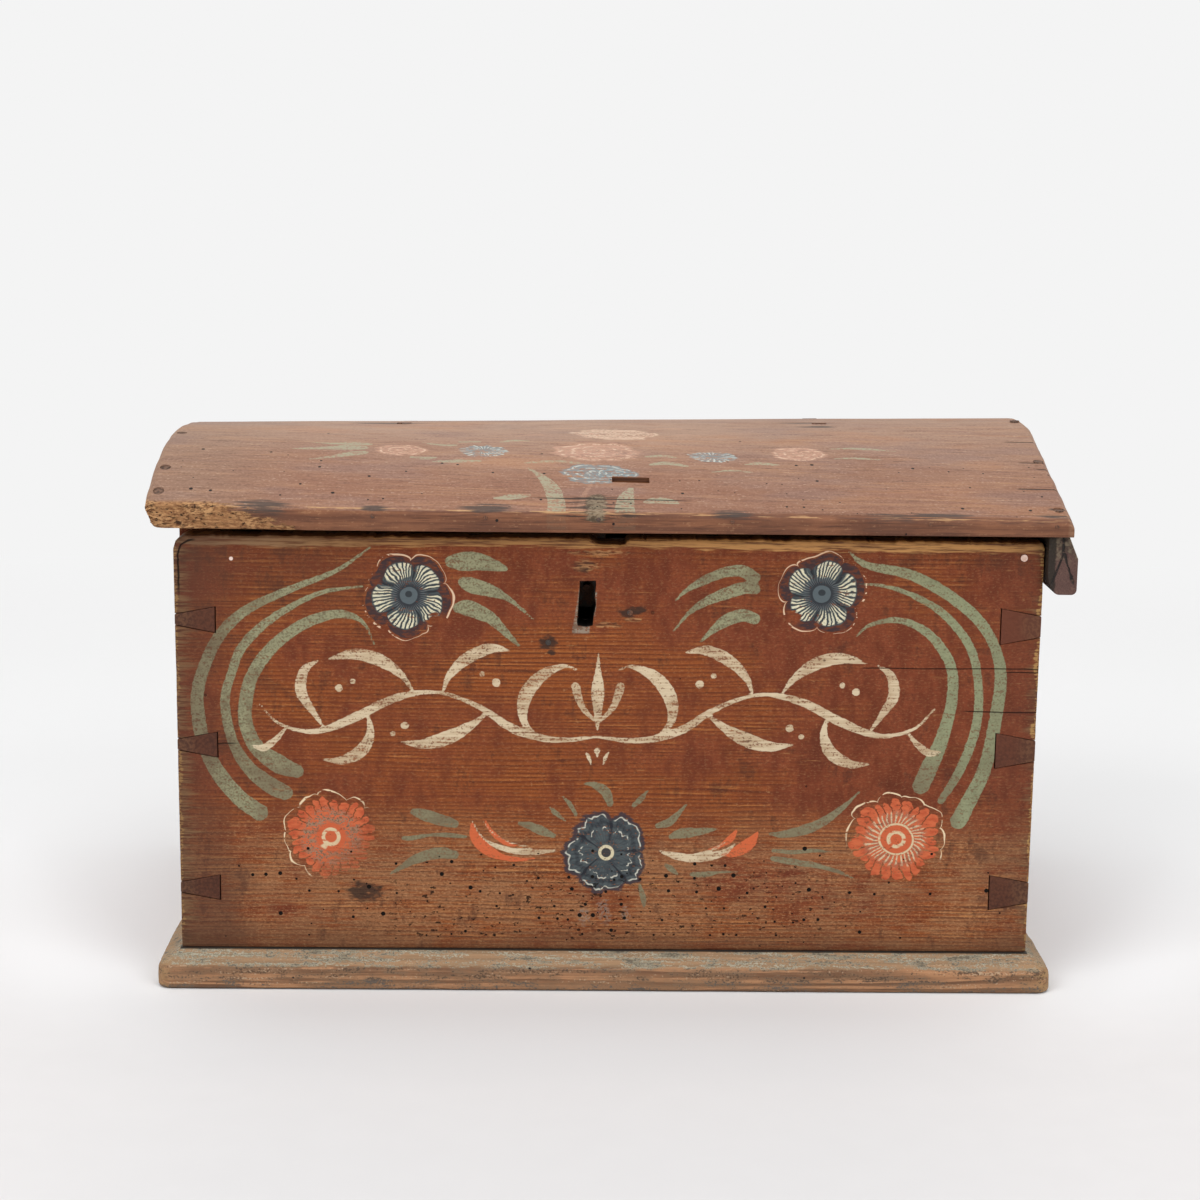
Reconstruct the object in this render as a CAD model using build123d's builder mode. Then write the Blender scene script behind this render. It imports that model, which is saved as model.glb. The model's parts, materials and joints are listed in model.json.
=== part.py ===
from build123d import *
from math import sqrt
import os

os.makedirs("parts", exist_ok=True)

# A painted wooden box with a domed plank lid, dovetailed corners, two wrought
# strap hinges and a nailed iron lock. Millimetres. X runs to the right along
# the front, -Y is the front and +Z is up. The origin is on the floor, under
# the middle of the body.

# Body of four boards
body_w = 500.0
body_d = 286.0
wall_t = 23.0
wall_h = 247.0
front_corner_r = 7.0

# Bottom board, which stands out as a bevelled plinth at the front and the ends
floor_t = 20.0
floor_bevel_h = 6.0
floor_front = 16.0
floor_side = 13.0
floor_lip = 1.0
floor_corner_r = 8.0

# Dovetails: pins of the end boards, at these shares of the wall's height
pin_places = (0.15, 0.50, 0.80)
left_pin_h = 15.0
right_pin_h = 21.0
pin_flare = 9.0

# Lid, hollowed out of one plank
lid_overhang_x = 14.0
lid_overhang_y = 12.0
lid_edge_t = 12.0
dome_rise = 36.0
crown_t = 14.0
lid_end_bevel = 3.0
lid_seat_gap = 0.3
broken_len = 84.0
broken_depth = 5.0
broken_step_x = 0.4
broken_step_y = 0.55

# Coin slot
slot_x = 12.0
slot_w = 21.5
slot_d = 6.5
slot_inset = 3.0

# Cleat under the right end of the lid
cleat_t = 17.0
cleat_drop = 34.0
cleat_side_gap = 1.0
cleat_seat_gap = 0.1
cleat_end_inset = 5.0
cleat_chamfer_w = 4.0
cleat_chamfer_h = 10.0
cleat_slant_w = 5.5
cleat_slant_h = 13.0

# Wooden pegs through the lid, at these shares of the lid's half depth
peg_r = 3.0
peg_depth = 18.0
peg_gap = 0.1
peg_proud = 0.8
right_peg_places = (-0.90, -0.49, 0.02, 0.53)
left_peg_places = (-0.92, -0.76, -0.37)
corner_peg_r = 2.0
corner_peg_bite = 15.0
corner_peg_drop = 9.0

# Strap hinges, rolled from one thickness of iron
hinge_inset = 120.0
pin_r = 2.5
pin_play = 0.05
leaf_t = 2.5
barrel_w = 34.0
middle_w = 11.0
knuckle_gap = 0.3
strap_clear = 2.2
strap_w = 28.0
strap_tip_w = 15.0
strap_reach = 165.0
body_leaf_len = 78.0
body_leaf_tip_w = 18.0
hinge_wood_gap = 0.4
leaf_seat_gap = 0.1
pin_head_t = 1.5
pin_head_r = 4.0
strap_nail_places = (0.25, 0.58, 0.93)
leaf_nail_places = (0.30, 0.58, 0.86)

# Nails
nail_r = 1.6
nail_head_r = 4.0
nail_head_t = 1.2
nail_gap = 0.1
nail_cover = 5.0
nail_rise = 24.0
clinch_len = 9.0
clinch_w = 2.6
clinch_t = 1.2
front_nail_count = 4
end_nail_count = 2
floor_nail_end = 46.0
lip_nail_r = 1.3
lip_nail_len = 12.0
lip_nail_drop = 3.5
lip_nail_proud = 0.3
lip_nail_places = (-0.27, -0.142, -0.014, 0.138, 0.364, 0.508)

# Keyhole, cut a little askew, and the worn notch above it
keyhole_x = -13.0
keyhole_w = 9.0
keyhole_h = 27.0
keyhole_lean = 1.6
keyhole_drop = 24.6
keyhole_corner_r = 1.5
notch_w = 25.0
notch_h = 3.3
notch_side = 5.0

# Lock plate, nailed to the inside of the front board
plate_t = 1.6
plate_w = 116.0
plate_h = 65.0
plate_x = -10.0
plate_drop = 4.0
plate_corner_r = 4.0
plate_nail_x = 6.0
plate_nail_drop = 7.0
plate_head_r = 3.0
low_nail_x = -35.0
low_nail_drop = 61.0
high_nail_x = 12.0
high_nail_drop = 43.0

# Staple that hangs from the lid
staple_x = -7.0
staple_w = 10.0
staple_t = 1.6
staple_bend_r = 1.4
staple_front_gap = 1.5
staple_bite = 14.0
lock_play = 0.9

# Bolt, its guides and its spring
bolt_t = 4.0
bolt_h = 7.5
bolt_left = 45.0
bolt_right = 47.0
bolt_throw = 12.0
finger_h = 6.0
finger_gap = 2.0
finger_rise = 4.5
arm_w = 6.0
arm_gap = 1.0
talon_w = 10.0
talon_h = 3.5
talon_slope = 1.0
talon_lap = 0.5
guide_w = 6.0
guide_wall = 1.6
guide_play = 0.2
guide_end_gap = 1.0
spring_t = 0.8
spring_len = 18.0
spring_rise = 2.5
spring_tip = 4.0
spring_foot_w = 3.0
spring_foot_h = 5.0
spring_gap = 0.2
spring_staple_gap = 3.0

# Key pin and the cover that carries it
key_pin_r = 2.0
key_pin_drop = 9.0
key_pin_short = 1.5
key_rivet_r = 3.2
key_rivet_t = 0.8
key_sweep_r = 14.0
key_sweep_gap = 1.5
cover_t = 1.6
cover_h = 26.0
cover_play = 1.0

# Places worked out from the sizes above
barrel_r = pin_r + pin_play + leaf_t
lid_gap = knuckle_gap + leaf_t + strap_clear
wall_top = floor_t + wall_h
lid_z = wall_top + lid_gap
lid_w = body_w + 2 * lid_overhang_x
lid_y = body_d / 2 + lid_overhang_y
lid_shoulder_z = lid_z + lid_edge_t
crest_z = lid_shoulder_z + dome_rise
dome_r = (lid_y**2 + dome_rise**2) / (2 * dome_rise)
dome_cz = crest_z - dome_r
inner_y = body_d / 2 - wall_t
inner_x = body_w / 2 - wall_t
hollow_rise = crest_z - crown_t - lid_z
hollow_r = (inner_y**2 + hollow_rise**2) / (2 * hollow_rise)
hollow_cz = lid_z + hollow_rise - hollow_r
cleat_x = body_w / 2 + cleat_side_gap
peg_x = (cleat_x + lid_w / 2) / 2
hinge_x = body_w / 2 - hinge_inset
hinge_y = body_d / 2 + hinge_wood_gap + barrel_r
hinge_z = lid_z - knuckle_gap - barrel_r
keyhole_top = wall_top - keyhole_drop
key_z = keyhole_top - key_pin_drop
plate_face = -inner_y + plate_t
plate_top = wall_top - plate_drop
staple_front = plate_face + staple_front_gap
bolt_front = staple_front + staple_t + lock_play
bolt_back = bolt_front + bolt_t
staple_back = bolt_back + lock_play + staple_t
bolt_z = key_z + key_sweep_r - talon_h + talon_lap
bolt_top = bolt_z + bolt_h
finger_z = bolt_top + finger_rise
bolt_left_end = staple_x - bolt_left
bolt_right_end = staple_x + bolt_right
wall_nail_len = wall_t - nail_cover
RISING = (Align.CENTER, Align.CENTER, Align.MIN)


def dome_height(y):
    """Height of the outside of the lid above the floor, y from the middle."""
    return dome_cz + sqrt(dome_r**2 - y**2)


def arch_point(radius, y):
    """Point at y, on an arch of that radius about the centre of the hollow."""
    return (y, hollow_cz + sqrt(radius**2 - y**2))


def hollow_height(y):
    """Height of the lid's underside: an arch between the walls, flat beyond."""
    if abs(y) >= inner_y:
        return lid_z
    return arch_point(hollow_r, y)[1]


def pin_ends(side, y):
    """Outlines of one corner's pins, on a plane that faces the front."""
    pin_h = left_pin_h if side < 0 else right_pin_h
    narrow = (pin_h - pin_flare) / 2
    wide = pin_h / 2
    outer = side * body_w / 2
    inner = side * inner_x
    with BuildSketch(Plane.XZ.offset(-y)) as ends:
        for place in pin_places:
            z = floor_t + place * wall_h
            with BuildLine():
                Polyline(
                    (outer, z - narrow),
                    (outer, z + narrow),
                    (inner, z + wide),
                    (inner, z - wide),
                    close=True,
                )
            make_face()
    return ends.sketch


def circles(plane, points, radius):
    """Round outlines of one radius at several points of a plane."""
    with BuildSketch(plane) as sketch:
        with Locations(*points):
            Circle(radius)
    return sketch.sketch


def floor_outline(z, front, side, corner_r):
    """Outline of the bottom board at a height, flush with the body behind."""
    with BuildSketch(Plane.XY.offset(z)) as outline:
        with Locations((0, -front / 2)):
            Rectangle(body_w + 2 * side, body_d + front)
        fillet(outline.vertices().group_by(Axis.Y)[0], corner_r)
    return outline.sketch


def spread(count, length):
    """Places of a row of nails, evenly spaced about the middle."""
    return [length * (i / (count - 1) - 0.5) for i in range(count)]


# Where the bottom board is nailed, along the middle of each wall
long_row = spread(front_nail_count, body_w - 2 * floor_nail_end)
short_row = spread(end_nail_count, body_d - 2 * wall_t - 2 * floor_nail_end)
front_nail_points = [(x, -(body_d - wall_t) / 2) for x in long_row]
back_nail_points = [(x, (body_d - wall_t) / 2) for x in long_row]
left_nail_points = [(-(body_w - wall_t) / 2, y) for y in short_row]
right_nail_points = [((body_w - wall_t) / 2, y) for y in short_row]
floor_nail_points = (
    front_nail_points + back_nail_points + left_nail_points + right_nail_points
)

# Where the lid, the leaves and the lock are nailed and pegged
peg_points = [(peg_x, place * lid_y) for place in right_peg_places]
stub_points = [(-peg_x, place * lid_y) for place in left_peg_places]
strap_nail_rows = [hinge_y - place * strap_reach for place in strap_nail_places]
leaf_nail_rows = [hinge_z - place * body_leaf_len for place in leaf_nail_places]
strap_nail_points = [(s * hinge_x, y) for s in (-1, 1) for y in strap_nail_rows]
leaf_nail_points = [(s * hinge_x, z) for s in (-1, 1) for z in leaf_nail_rows]
lip_nail_z = lid_shoulder_z - lip_nail_drop
lip_nail_points = [(place * body_w, lip_nail_z) for place in lip_nail_places]
long_nail_points = [
    (low_nail_x, wall_top - low_nail_drop),
    (high_nail_x, wall_top - high_nail_drop),
]
short_nail_points = [
    (plate_x + s * (plate_w / 2 - plate_nail_x), plate_top - plate_nail_drop)
    for s in (-1, 1)
]
corner_peg_point = ((body_w - wall_t) / 2, wall_top - corner_peg_drop)
FRONT_INSIDE = Plane.XZ.offset(inner_y)
FRONT_OUTSIDE = Plane.XZ.offset(body_d / 2)
BACK_OUTSIDE = Plane.XZ.offset(-body_d / 2)


# Bottom board: one plank, grain along X, nailed up into the walls
with BuildPart() as bottom_board:
    arris_z = floor_t - floor_bevel_h
    extrude(floor_outline(0, floor_front, floor_side, floor_corner_r), amount=arris_z)
    loft(
        [
            floor_outline(arris_z, floor_front, floor_side, floor_corner_r).face(),
            floor_outline(floor_t, floor_lip, floor_lip, floor_lip).face(),
        ]
    )
    with Locations(*floor_nail_points):
        Cylinder(
            nail_head_r + nail_gap, nail_head_t + 2 * nail_gap, align=RISING, mode=Mode.SUBTRACT
        )
        Cylinder(nail_r + nail_gap, floor_t, align=RISING, mode=Mode.SUBTRACT)
bottom_board.part.label = "bottom_board"

# Nails through the bottom board, with their heads let in flush
with BuildPart() as bottom_nails:
    with Locations(*[(x, y, nail_gap) for x, y in floor_nail_points]):
        Cylinder(nail_head_r, nail_head_t, align=RISING)
        Cylinder(nail_r, floor_t + nail_rise - nail_gap, align=RISING)
bottom_nails.part.label = "bottom_nails"


def tail_board(y_outside, nail_points):
    """Front or back board: tails at both ends, bored for the bottom nails."""
    y_front = min(y_outside, y_outside - y_outside / abs(y_outside) * wall_t)
    with BuildPart() as board:
        with BuildSketch(Plane.XZ.offset(-y_front - wall_t)):
            with Locations((0, floor_t + wall_h / 2)):
                Rectangle(body_w, wall_h)
        extrude(amount=wall_t)
        for side in (-1, 1):
            extrude(pin_ends(side, y_front + wall_t), amount=wall_t, mode=Mode.SUBTRACT)
        with Locations(*[(x, y, floor_t) for x, y in nail_points]):
            Cylinder(nail_r + nail_gap, nail_rise + nail_gap, align=RISING, mode=Mode.SUBTRACT)
    return board.part


# Front board: worn round at its top left corner, with the keyhole and the notch
with BuildPart() as front_board:
    add(tail_board(-body_d / 2, front_nail_points))
    left_edges = front_board.edges().filter_by(Axis.Y).group_by(Axis.X)[0]
    fillet(left_edges.sort_by(Axis.Z)[-1], front_corner_r)
    with BuildSketch(FRONT_INSIDE) as keyhole:
        with BuildLine():
            Polyline(
                (keyhole_x + (keyhole_lean - keyhole_w) / 2, keyhole_top),
                (keyhole_x + (keyhole_lean + keyhole_w) / 2, keyhole_top),
                (keyhole_x + (keyhole_w - keyhole_lean) / 2, keyhole_top - keyhole_h),
                (keyhole_x - (keyhole_w + keyhole_lean) / 2, keyhole_top - keyhole_h),
                close=True,
            )
        make_face()
        fillet(keyhole.vertices(), keyhole_corner_r)
    extrude(amount=wall_t, mode=Mode.SUBTRACT)
    with BuildSketch(FRONT_INSIDE):
        with BuildLine():
            Polyline(
                (-notch_w / 2, wall_top),
                (-notch_w / 2 + notch_side, wall_top - notch_h),
                (notch_w / 2 - notch_side, wall_top - notch_h),
                (notch_w / 2, wall_top),
                close=True,
            )
        make_face()
    extrude(amount=wall_t, mode=Mode.SUBTRACT)
    extrude(
        circles(FRONT_INSIDE, long_nail_points, nail_r + nail_gap),
        amount=wall_t,
        mode=Mode.SUBTRACT,
    )
    extrude(
        circles(FRONT_INSIDE, short_nail_points, nail_r + nail_gap),
        amount=wall_nail_len + nail_gap,
        mode=Mode.SUBTRACT,
    )
    extrude(
        circles(FRONT_INSIDE, [corner_peg_point], corner_peg_r + peg_gap),
        amount=wall_t,
        mode=Mode.SUBTRACT,
    )
front_board.part.label = "front_board"

# Back board: the same tails, with the nail holes of both hinge leaves
with BuildPart() as back_board:
    add(tail_board(body_d / 2, back_nail_points))
    extrude(
        circles(BACK_OUTSIDE, leaf_nail_points, nail_r + nail_gap),
        amount=wall_nail_len + nail_gap,
        mode=Mode.SUBTRACT,
    )
back_board.part.label = "back_board"


def make_side_board(side, nail_points):
    """End board: its pins run through the tails and its top fills the dome."""
    arch_r = hollow_r - lid_seat_gap
    start_x = min(side * inner_x, side * body_w / 2)
    with BuildPart() as board:
        with BuildSketch(Plane.YZ.offset(start_x)):
            with BuildLine():
                Polyline(
                    arch_point(arch_r, -inner_y),
                    (-inner_y, floor_t),
                    (inner_y, floor_t),
                    arch_point(arch_r, inner_y),
                )
                ThreePointArc(
                    arch_point(arch_r, inner_y),
                    arch_point(arch_r, 0),
                    arch_point(arch_r, -inner_y),
                )
            make_face()
        extrude(amount=wall_t)
        for y in (-inner_y, body_d / 2):
            extrude(pin_ends(side, y), amount=wall_t)
        with Locations(*[(x, y, floor_t) for x, y in nail_points]):
            Cylinder(nail_r + nail_gap, nail_rise + nail_gap, align=RISING, mode=Mode.SUBTRACT)
    return board.part


with BuildPart() as left_side_board:
    add(make_side_board(-1, left_nail_points))
left_side_board.part.label = "left_side_board"

with BuildPart() as right_side_board:
    add(make_side_board(1, right_nail_points))
    extrude(
        circles(FRONT_INSIDE, [corner_peg_point], corner_peg_r + peg_gap),
        amount=-(corner_peg_bite + peg_gap),
        mode=Mode.SUBTRACT,
    )
right_side_board.part.label = "right_side_board"

# Wooden peg through the top tail at the front right corner
with BuildPart() as corner_peg:
    extrude(
        circles(FRONT_OUTSIDE, [corner_peg_point], corner_peg_r),
        amount=-(wall_t + corner_peg_bite),
    )
corner_peg.part.label = "corner_peg"

# Lid: one plank, with its coin slot, its broken corner and its holes
with BuildPart() as lid:
    with BuildSketch(Plane.YZ.offset(-lid_w / 2)):
        with BuildLine():
            Polyline((-inner_y, lid_z), (-lid_y, lid_z), (-lid_y, lid_shoulder_z))
            ThreePointArc((-lid_y, lid_shoulder_z), (0, crest_z), (lid_y, lid_shoulder_z))
            Polyline((lid_y, lid_shoulder_z), (lid_y, lid_z), (inner_y, lid_z))
            ThreePointArc((inner_y, lid_z), (0, crest_z - crown_t), (-inner_y, lid_z))
        make_face()
    extrude(amount=lid_w)
    dome_ends = lid.edges().filter_by(GeomType.CIRCLE).group_by(SortBy.RADIUS)[-1]
    chamfer(dome_ends, lid_end_bevel)
    with BuildSketch(Plane.XY.offset(lid_z)):
        with BuildLine():
            Polyline(
                (-lid_w / 2, -lid_y),
                (-lid_w / 2, -lid_y + broken_depth),
                (-lid_w / 2 + broken_len * broken_step_x, -lid_y + broken_depth * broken_step_y),
                (-lid_w / 2 + broken_len, -lid_y),
                close=True,
            )
        make_face()
    extrude(amount=crest_z - lid_z, mode=Mode.SUBTRACT)
    with BuildSketch(Plane.XY.offset(lid_z)):
        with Locations((slot_x, -inner_y + slot_inset)):
            Rectangle(slot_w, slot_d)
    extrude(amount=crest_z - lid_z, mode=Mode.SUBTRACT)
    through_lid = Plane.XY.offset(lid_z)
    extrude(
        circles(through_lid, peg_points + stub_points, peg_r + peg_gap),
        amount=crest_z - lid_z,
        mode=Mode.SUBTRACT,
    )
    extrude(
        circles(through_lid, strap_nail_points, nail_r + nail_gap),
        amount=crest_z - lid_z,
        mode=Mode.SUBTRACT,
    )
    with BuildSketch(Plane.XY.offset(lid_z)):
        for y in (staple_front + staple_t / 2, staple_back - staple_t / 2):
            with Locations((staple_x, y)):
                Rectangle(staple_w + 2 * nail_gap, staple_t + 2 * nail_gap)
    extrude(
        amount=hollow_height(staple_front) + staple_bite + nail_gap - lid_z,
        mode=Mode.SUBTRACT,
    )
    extrude(
        circles(Plane.XZ.offset(lid_y), lip_nail_points, lip_nail_r + nail_gap),
        amount=-lip_nail_len,
        mode=Mode.SUBTRACT,
    )
lid.part.label = "lid"

# Stubs of old nails along the front edge of the lid
with BuildPart() as lip_nails:
    extrude(
        circles(Plane.XZ.offset(lid_y + lip_nail_proud), lip_nail_points, lip_nail_r),
        amount=-(lip_nail_len + lip_nail_proud - nail_gap),
    )
lip_nails.part.label = "lip_nails"

# Cleat: an upright board under the right overhang, its top cut to the hollow
with BuildPart() as right_lid_cleat:
    end_y = lid_y - cleat_end_inset
    low_z = lid_z - cleat_drop
    top_z = lid_z - cleat_seat_gap
    crown_z = crest_z - crown_t - cleat_seat_gap
    with BuildSketch(Plane.YZ.offset(cleat_x)):
        with BuildLine():
            Polyline(
                (-inner_y, top_z),
                (-end_y, top_z),
                (-end_y, low_z),
                (end_y, low_z),
                (end_y, top_z),
                (inner_y, top_z),
            )
            ThreePointArc((inner_y, top_z), (0, crown_z), (-inner_y, top_z))
        make_face()
    extrude(amount=cleat_t)
    outer_face = right_lid_cleat.faces().sort_by(Axis.X)[-1]
    flat_tops = outer_face.edges().filter_by(GeomType.LINE).filter_by(Axis.Y)
    chamfer(
        flat_tops.group_by(Axis.Z)[-1] + outer_face.edges().filter_by(GeomType.CIRCLE),
        length=cleat_slant_h,
        length2=cleat_slant_w,
        reference=outer_face,
    )
    inner_face = right_lid_cleat.faces().sort_by(Axis.X)[0]
    chamfer(
        inner_face.edges().sort_by(Axis.Z)[0],
        length=cleat_chamfer_h,
        length2=cleat_chamfer_w,
        reference=inner_face,
    )
    with Locations(*[(x, y, hollow_height(y) - peg_depth) for x, y in peg_points]):
        Cylinder(peg_r + peg_gap, 2 * peg_depth, align=RISING, mode=Mode.SUBTRACT)
right_lid_cleat.part.label = "right_lid_cleat"


def peg_top(y):
    """Height at which a peg's whole end is still inside the dome."""
    return min(dome_height(y - peg_r), dome_height(y + peg_r))


# Pegs that hold the cleat, cut off a little proud of the lid
with BuildPart() as cleat_pegs:
    for x, y in peg_points:
        bottom = hollow_height(y) - peg_depth + peg_gap
        with Locations((x, y, bottom)):
            Cylinder(peg_r, peg_top(y) + peg_proud - bottom, align=RISING)
cleat_pegs.part.label = "cleat_pegs"

# What is left of the pegs of the lost left cleat, broken off under the lid
with BuildPart() as left_peg_stubs:
    for x, y in stub_points:
        bottom = hollow_height(y)
        with Locations((x, y, bottom)):
            Cylinder(peg_r, peg_top(y) - bottom, align=RISING)
left_peg_stubs.part.label = "left_peg_stubs"

strap_top = lid_z - knuckle_gap
strap_tip_y = hinge_y - strap_reach
shoulder_y = hinge_y - barrel_r - knuckle_gap


def make_lid_strap(side):
    """Lid leaf: a tapered strap bent to the hollow and rolled round its pin."""
    x = side * hinge_x
    out_r = hollow_r - knuckle_gap
    in_r = out_r - leaf_t
    middle_y = (inner_y + strap_tip_y) / 2
    round_y = strap_tip_y + strap_tip_w / 2
    with BuildPart() as strap:
        with BuildSketch(Plane.YZ.offset(x - strap_w / 2)):
            with BuildLine():
                Polyline(
                    arch_point(out_r, inner_y),
                    (hinge_y, strap_top),
                    (hinge_y, strap_top - leaf_t),
                    arch_point(in_r, inner_y),
                )
                ThreePointArc(
                    arch_point(in_r, inner_y),
                    arch_point(in_r, middle_y),
                    arch_point(in_r, strap_tip_y),
                )
                Line(arch_point(in_r, strap_tip_y), arch_point(out_r, strap_tip_y))
                ThreePointArc(
                    arch_point(out_r, strap_tip_y),
                    arch_point(out_r, middle_y),
                    arch_point(out_r, inner_y),
                )
            make_face()
        extrude(amount=strap_w)
        with BuildSketch(Plane.XY.offset(wall_top)):
            with BuildLine():
                Polyline(
                    (x - strap_tip_w / 2, round_y),
                    (x - strap_w / 2, shoulder_y),
                    (x - middle_w / 2, shoulder_y),
                    (x - middle_w / 2, hinge_y),
                    (x + middle_w / 2, hinge_y),
                    (x + middle_w / 2, shoulder_y),
                    (x + strap_w / 2, shoulder_y),
                    (x + strap_tip_w / 2, round_y),
                )
                ThreePointArc(
                    (x + strap_tip_w / 2, round_y),
                    (x, strap_tip_y),
                    (x - strap_tip_w / 2, round_y),
                )
            make_face()
        extrude(amount=crest_z - wall_top, mode=Mode.INTERSECT)
        barrel_plane = Plane.YZ.offset(x - middle_w / 2)
        extrude(circles(barrel_plane, [(hinge_y, hinge_z)], barrel_r), amount=middle_w)
        extrude(
            circles(barrel_plane, [(hinge_y, hinge_z)], pin_r + pin_play),
            amount=middle_w,
            mode=Mode.SUBTRACT,
        )
        extrude(
            circles(Plane.XY.offset(hinge_z), [(x, y) for y in strap_nail_rows], nail_r + nail_gap),
            amount=crest_z - hinge_z,
            mode=Mode.SUBTRACT,
        )
    return strap.part


def make_body_leaf(side):
    """Body leaf: a tapered plate on the back board with the outer knuckles."""
    x = side * hinge_x
    tip_z = hinge_z - body_leaf_len
    round_z = tip_z + body_leaf_tip_w / 2
    knuckle_w = (barrel_w - middle_w) / 2 - knuckle_gap
    with BuildPart() as leaf:
        with BuildSketch(Plane.XZ.offset(-body_d / 2 - leaf_seat_gap)):
            with BuildLine():
                Polyline(
                    (x - body_leaf_tip_w / 2, round_z),
                    (x - barrel_w / 2, hinge_z - barrel_r),
                    (x - barrel_w / 2, hinge_z),
                    (x + barrel_w / 2, hinge_z),
                    (x + barrel_w / 2, hinge_z - barrel_r),
                    (x + body_leaf_tip_w / 2, round_z),
                )
                ThreePointArc(
                    (x + body_leaf_tip_w / 2, round_z),
                    (x, tip_z),
                    (x - body_leaf_tip_w / 2, round_z),
                )
            make_face()
            with Locations((x, hinge_z)):
                Rectangle(
                    middle_w + 2 * knuckle_gap,
                    2 * (barrel_r + 2 * knuckle_gap),
                    mode=Mode.SUBTRACT,
                )
            with Locations(*[(x, z) for z in leaf_nail_rows]):
                Circle(nail_r + nail_gap, mode=Mode.SUBTRACT)
        extrude(amount=-leaf_t)
        for start in (x - barrel_w / 2, x + barrel_w / 2 - knuckle_w):
            extrude(
                circles(Plane.YZ.offset(start), [(hinge_y, hinge_z)], barrel_r),
                amount=knuckle_w,
            )
        extrude(
            circles(Plane.YZ.offset(x - barrel_w / 2), [(hinge_y, hinge_z)], pin_r + pin_play),
            amount=barrel_w,
            mode=Mode.SUBTRACT,
        )
    return leaf.part


def make_hinge_pin(side):
    """Hinge pin with one flattened head and its other end burred over."""
    start = side * hinge_x - barrel_w / 2
    with BuildPart() as pin:
        extrude(
            circles(Plane.YZ.offset(start), [(hinge_y, hinge_z)], pin_r),
            amount=barrel_w + pin_head_t,
        )
        extrude(
            circles(Plane.YZ.offset(start - pin_head_t), [(hinge_y, hinge_z)], pin_head_r),
            amount=pin_head_t,
        )
    return pin.part


hinge_parts = []
for side, word in ((-1, "left"), (1, "right")):
    for make_part, name in (
        (make_lid_strap, "_lid_strap"),
        (make_body_leaf, "_body_leaf"),
        (make_hinge_pin, "_hinge_pin"),
    ):
        hinge_part = make_part(side)
        hinge_part.label = word + name
        hinge_parts.append(hinge_part)


def strap_under(y):
    """Lowest height of the strap's inner face under a nail head at y."""
    far_y = abs(y) + nail_head_r
    flat_z = strap_top - leaf_t
    if far_y >= inner_y:
        return flat_z
    return arch_point(hollow_r - knuckle_gap - leaf_t, far_y)[1]


# Nails of the lid straps: head under the strap, point bent over on the dome
with BuildPart() as strap_nails:
    for x, y in strap_nail_points:
        head_z = strap_under(y) - nail_gap - nail_head_t
        clinch_z = dome_height(abs(y) - nail_r) + nail_gap
        with Locations((x, y, head_z)):
            Cylinder(nail_head_r, nail_head_t, align=RISING)
            Cylinder(nail_r, clinch_z + clinch_t - head_z, align=RISING)
        with Locations((x + clinch_len / 2 - nail_r, y, clinch_z)):
            Box(clinch_len, clinch_w, clinch_t, align=RISING)
strap_nails.part.label = "strap_nails"

# Nails of the body leaves, driven into the back board
with BuildPart() as leaf_nails:
    leaf_face = body_d / 2 + leaf_seat_gap + leaf_t + nail_gap
    extrude(
        circles(Plane.XZ.offset(-leaf_face), leaf_nail_points, nail_head_r),
        amount=-nail_head_t,
    )
    extrude(
        circles(Plane.XZ.offset(-leaf_face), leaf_nail_points, nail_r),
        amount=leaf_face - body_d / 2 + wall_nail_len,
    )
leaf_nails.part.label = "leaf_nails"

# Lock plate on the inside of the front board
with BuildPart() as lock_plate:
    with BuildSketch(FRONT_INSIDE):
        with Locations((plate_x, plate_top - plate_h / 2)):
            RectangleRounded(plate_w, plate_h, plate_corner_r)
        with Locations((keyhole_x, keyhole_top - keyhole_h / 2)):
            Rectangle(keyhole_w, keyhole_h, mode=Mode.SUBTRACT)
        with Locations(*(long_nail_points + short_nail_points)):
            Circle(nail_r + nail_gap, mode=Mode.SUBTRACT)
    extrude(amount=-plate_t)
lock_plate.part.label = "lock_plate"

# Lock nails: two reach the front face, two end inside the board
with BuildPart() as lock_nails:
    head_plane = Plane.XZ.offset(-plate_face - nail_gap)
    extrude(
        circles(head_plane, long_nail_points + short_nail_points, plate_head_r),
        amount=-nail_head_t,
    )
    extrude(
        circles(head_plane, long_nail_points, nail_r),
        amount=nail_gap + plate_t + wall_t,
    )
    extrude(
        circles(head_plane, short_nail_points, nail_r),
        amount=nail_gap + plate_t + wall_nail_len,
    )
lock_nails.part.label = "lock_nails"

# Staple: a flat iron strip bent to a U, its legs driven up into the lid
with BuildPart() as lid_staple:
    low_z = finger_z - lock_play - staple_t
    leg_top = hollow_height(staple_front) + staple_bite
    with BuildSketch(Plane.YZ.offset(staple_x - staple_w / 2)):
        with BuildLine():
            Polyline(
                (staple_front, leg_top),
                (staple_front, low_z),
                (staple_back, low_z),
                (staple_back, leg_top),
                (staple_back - staple_t, leg_top),
                (staple_back - staple_t, low_z + staple_t),
                (staple_front + staple_t, low_z + staple_t),
                (staple_front + staple_t, leg_top),
                close=True,
            )
        make_face()
    extrude(amount=staple_w)
    fillet(lid_staple.edges().filter_by(Axis.X).group_by(Axis.Z)[0], staple_bend_r)
lid_staple.part.label = "lid_staple"

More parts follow.
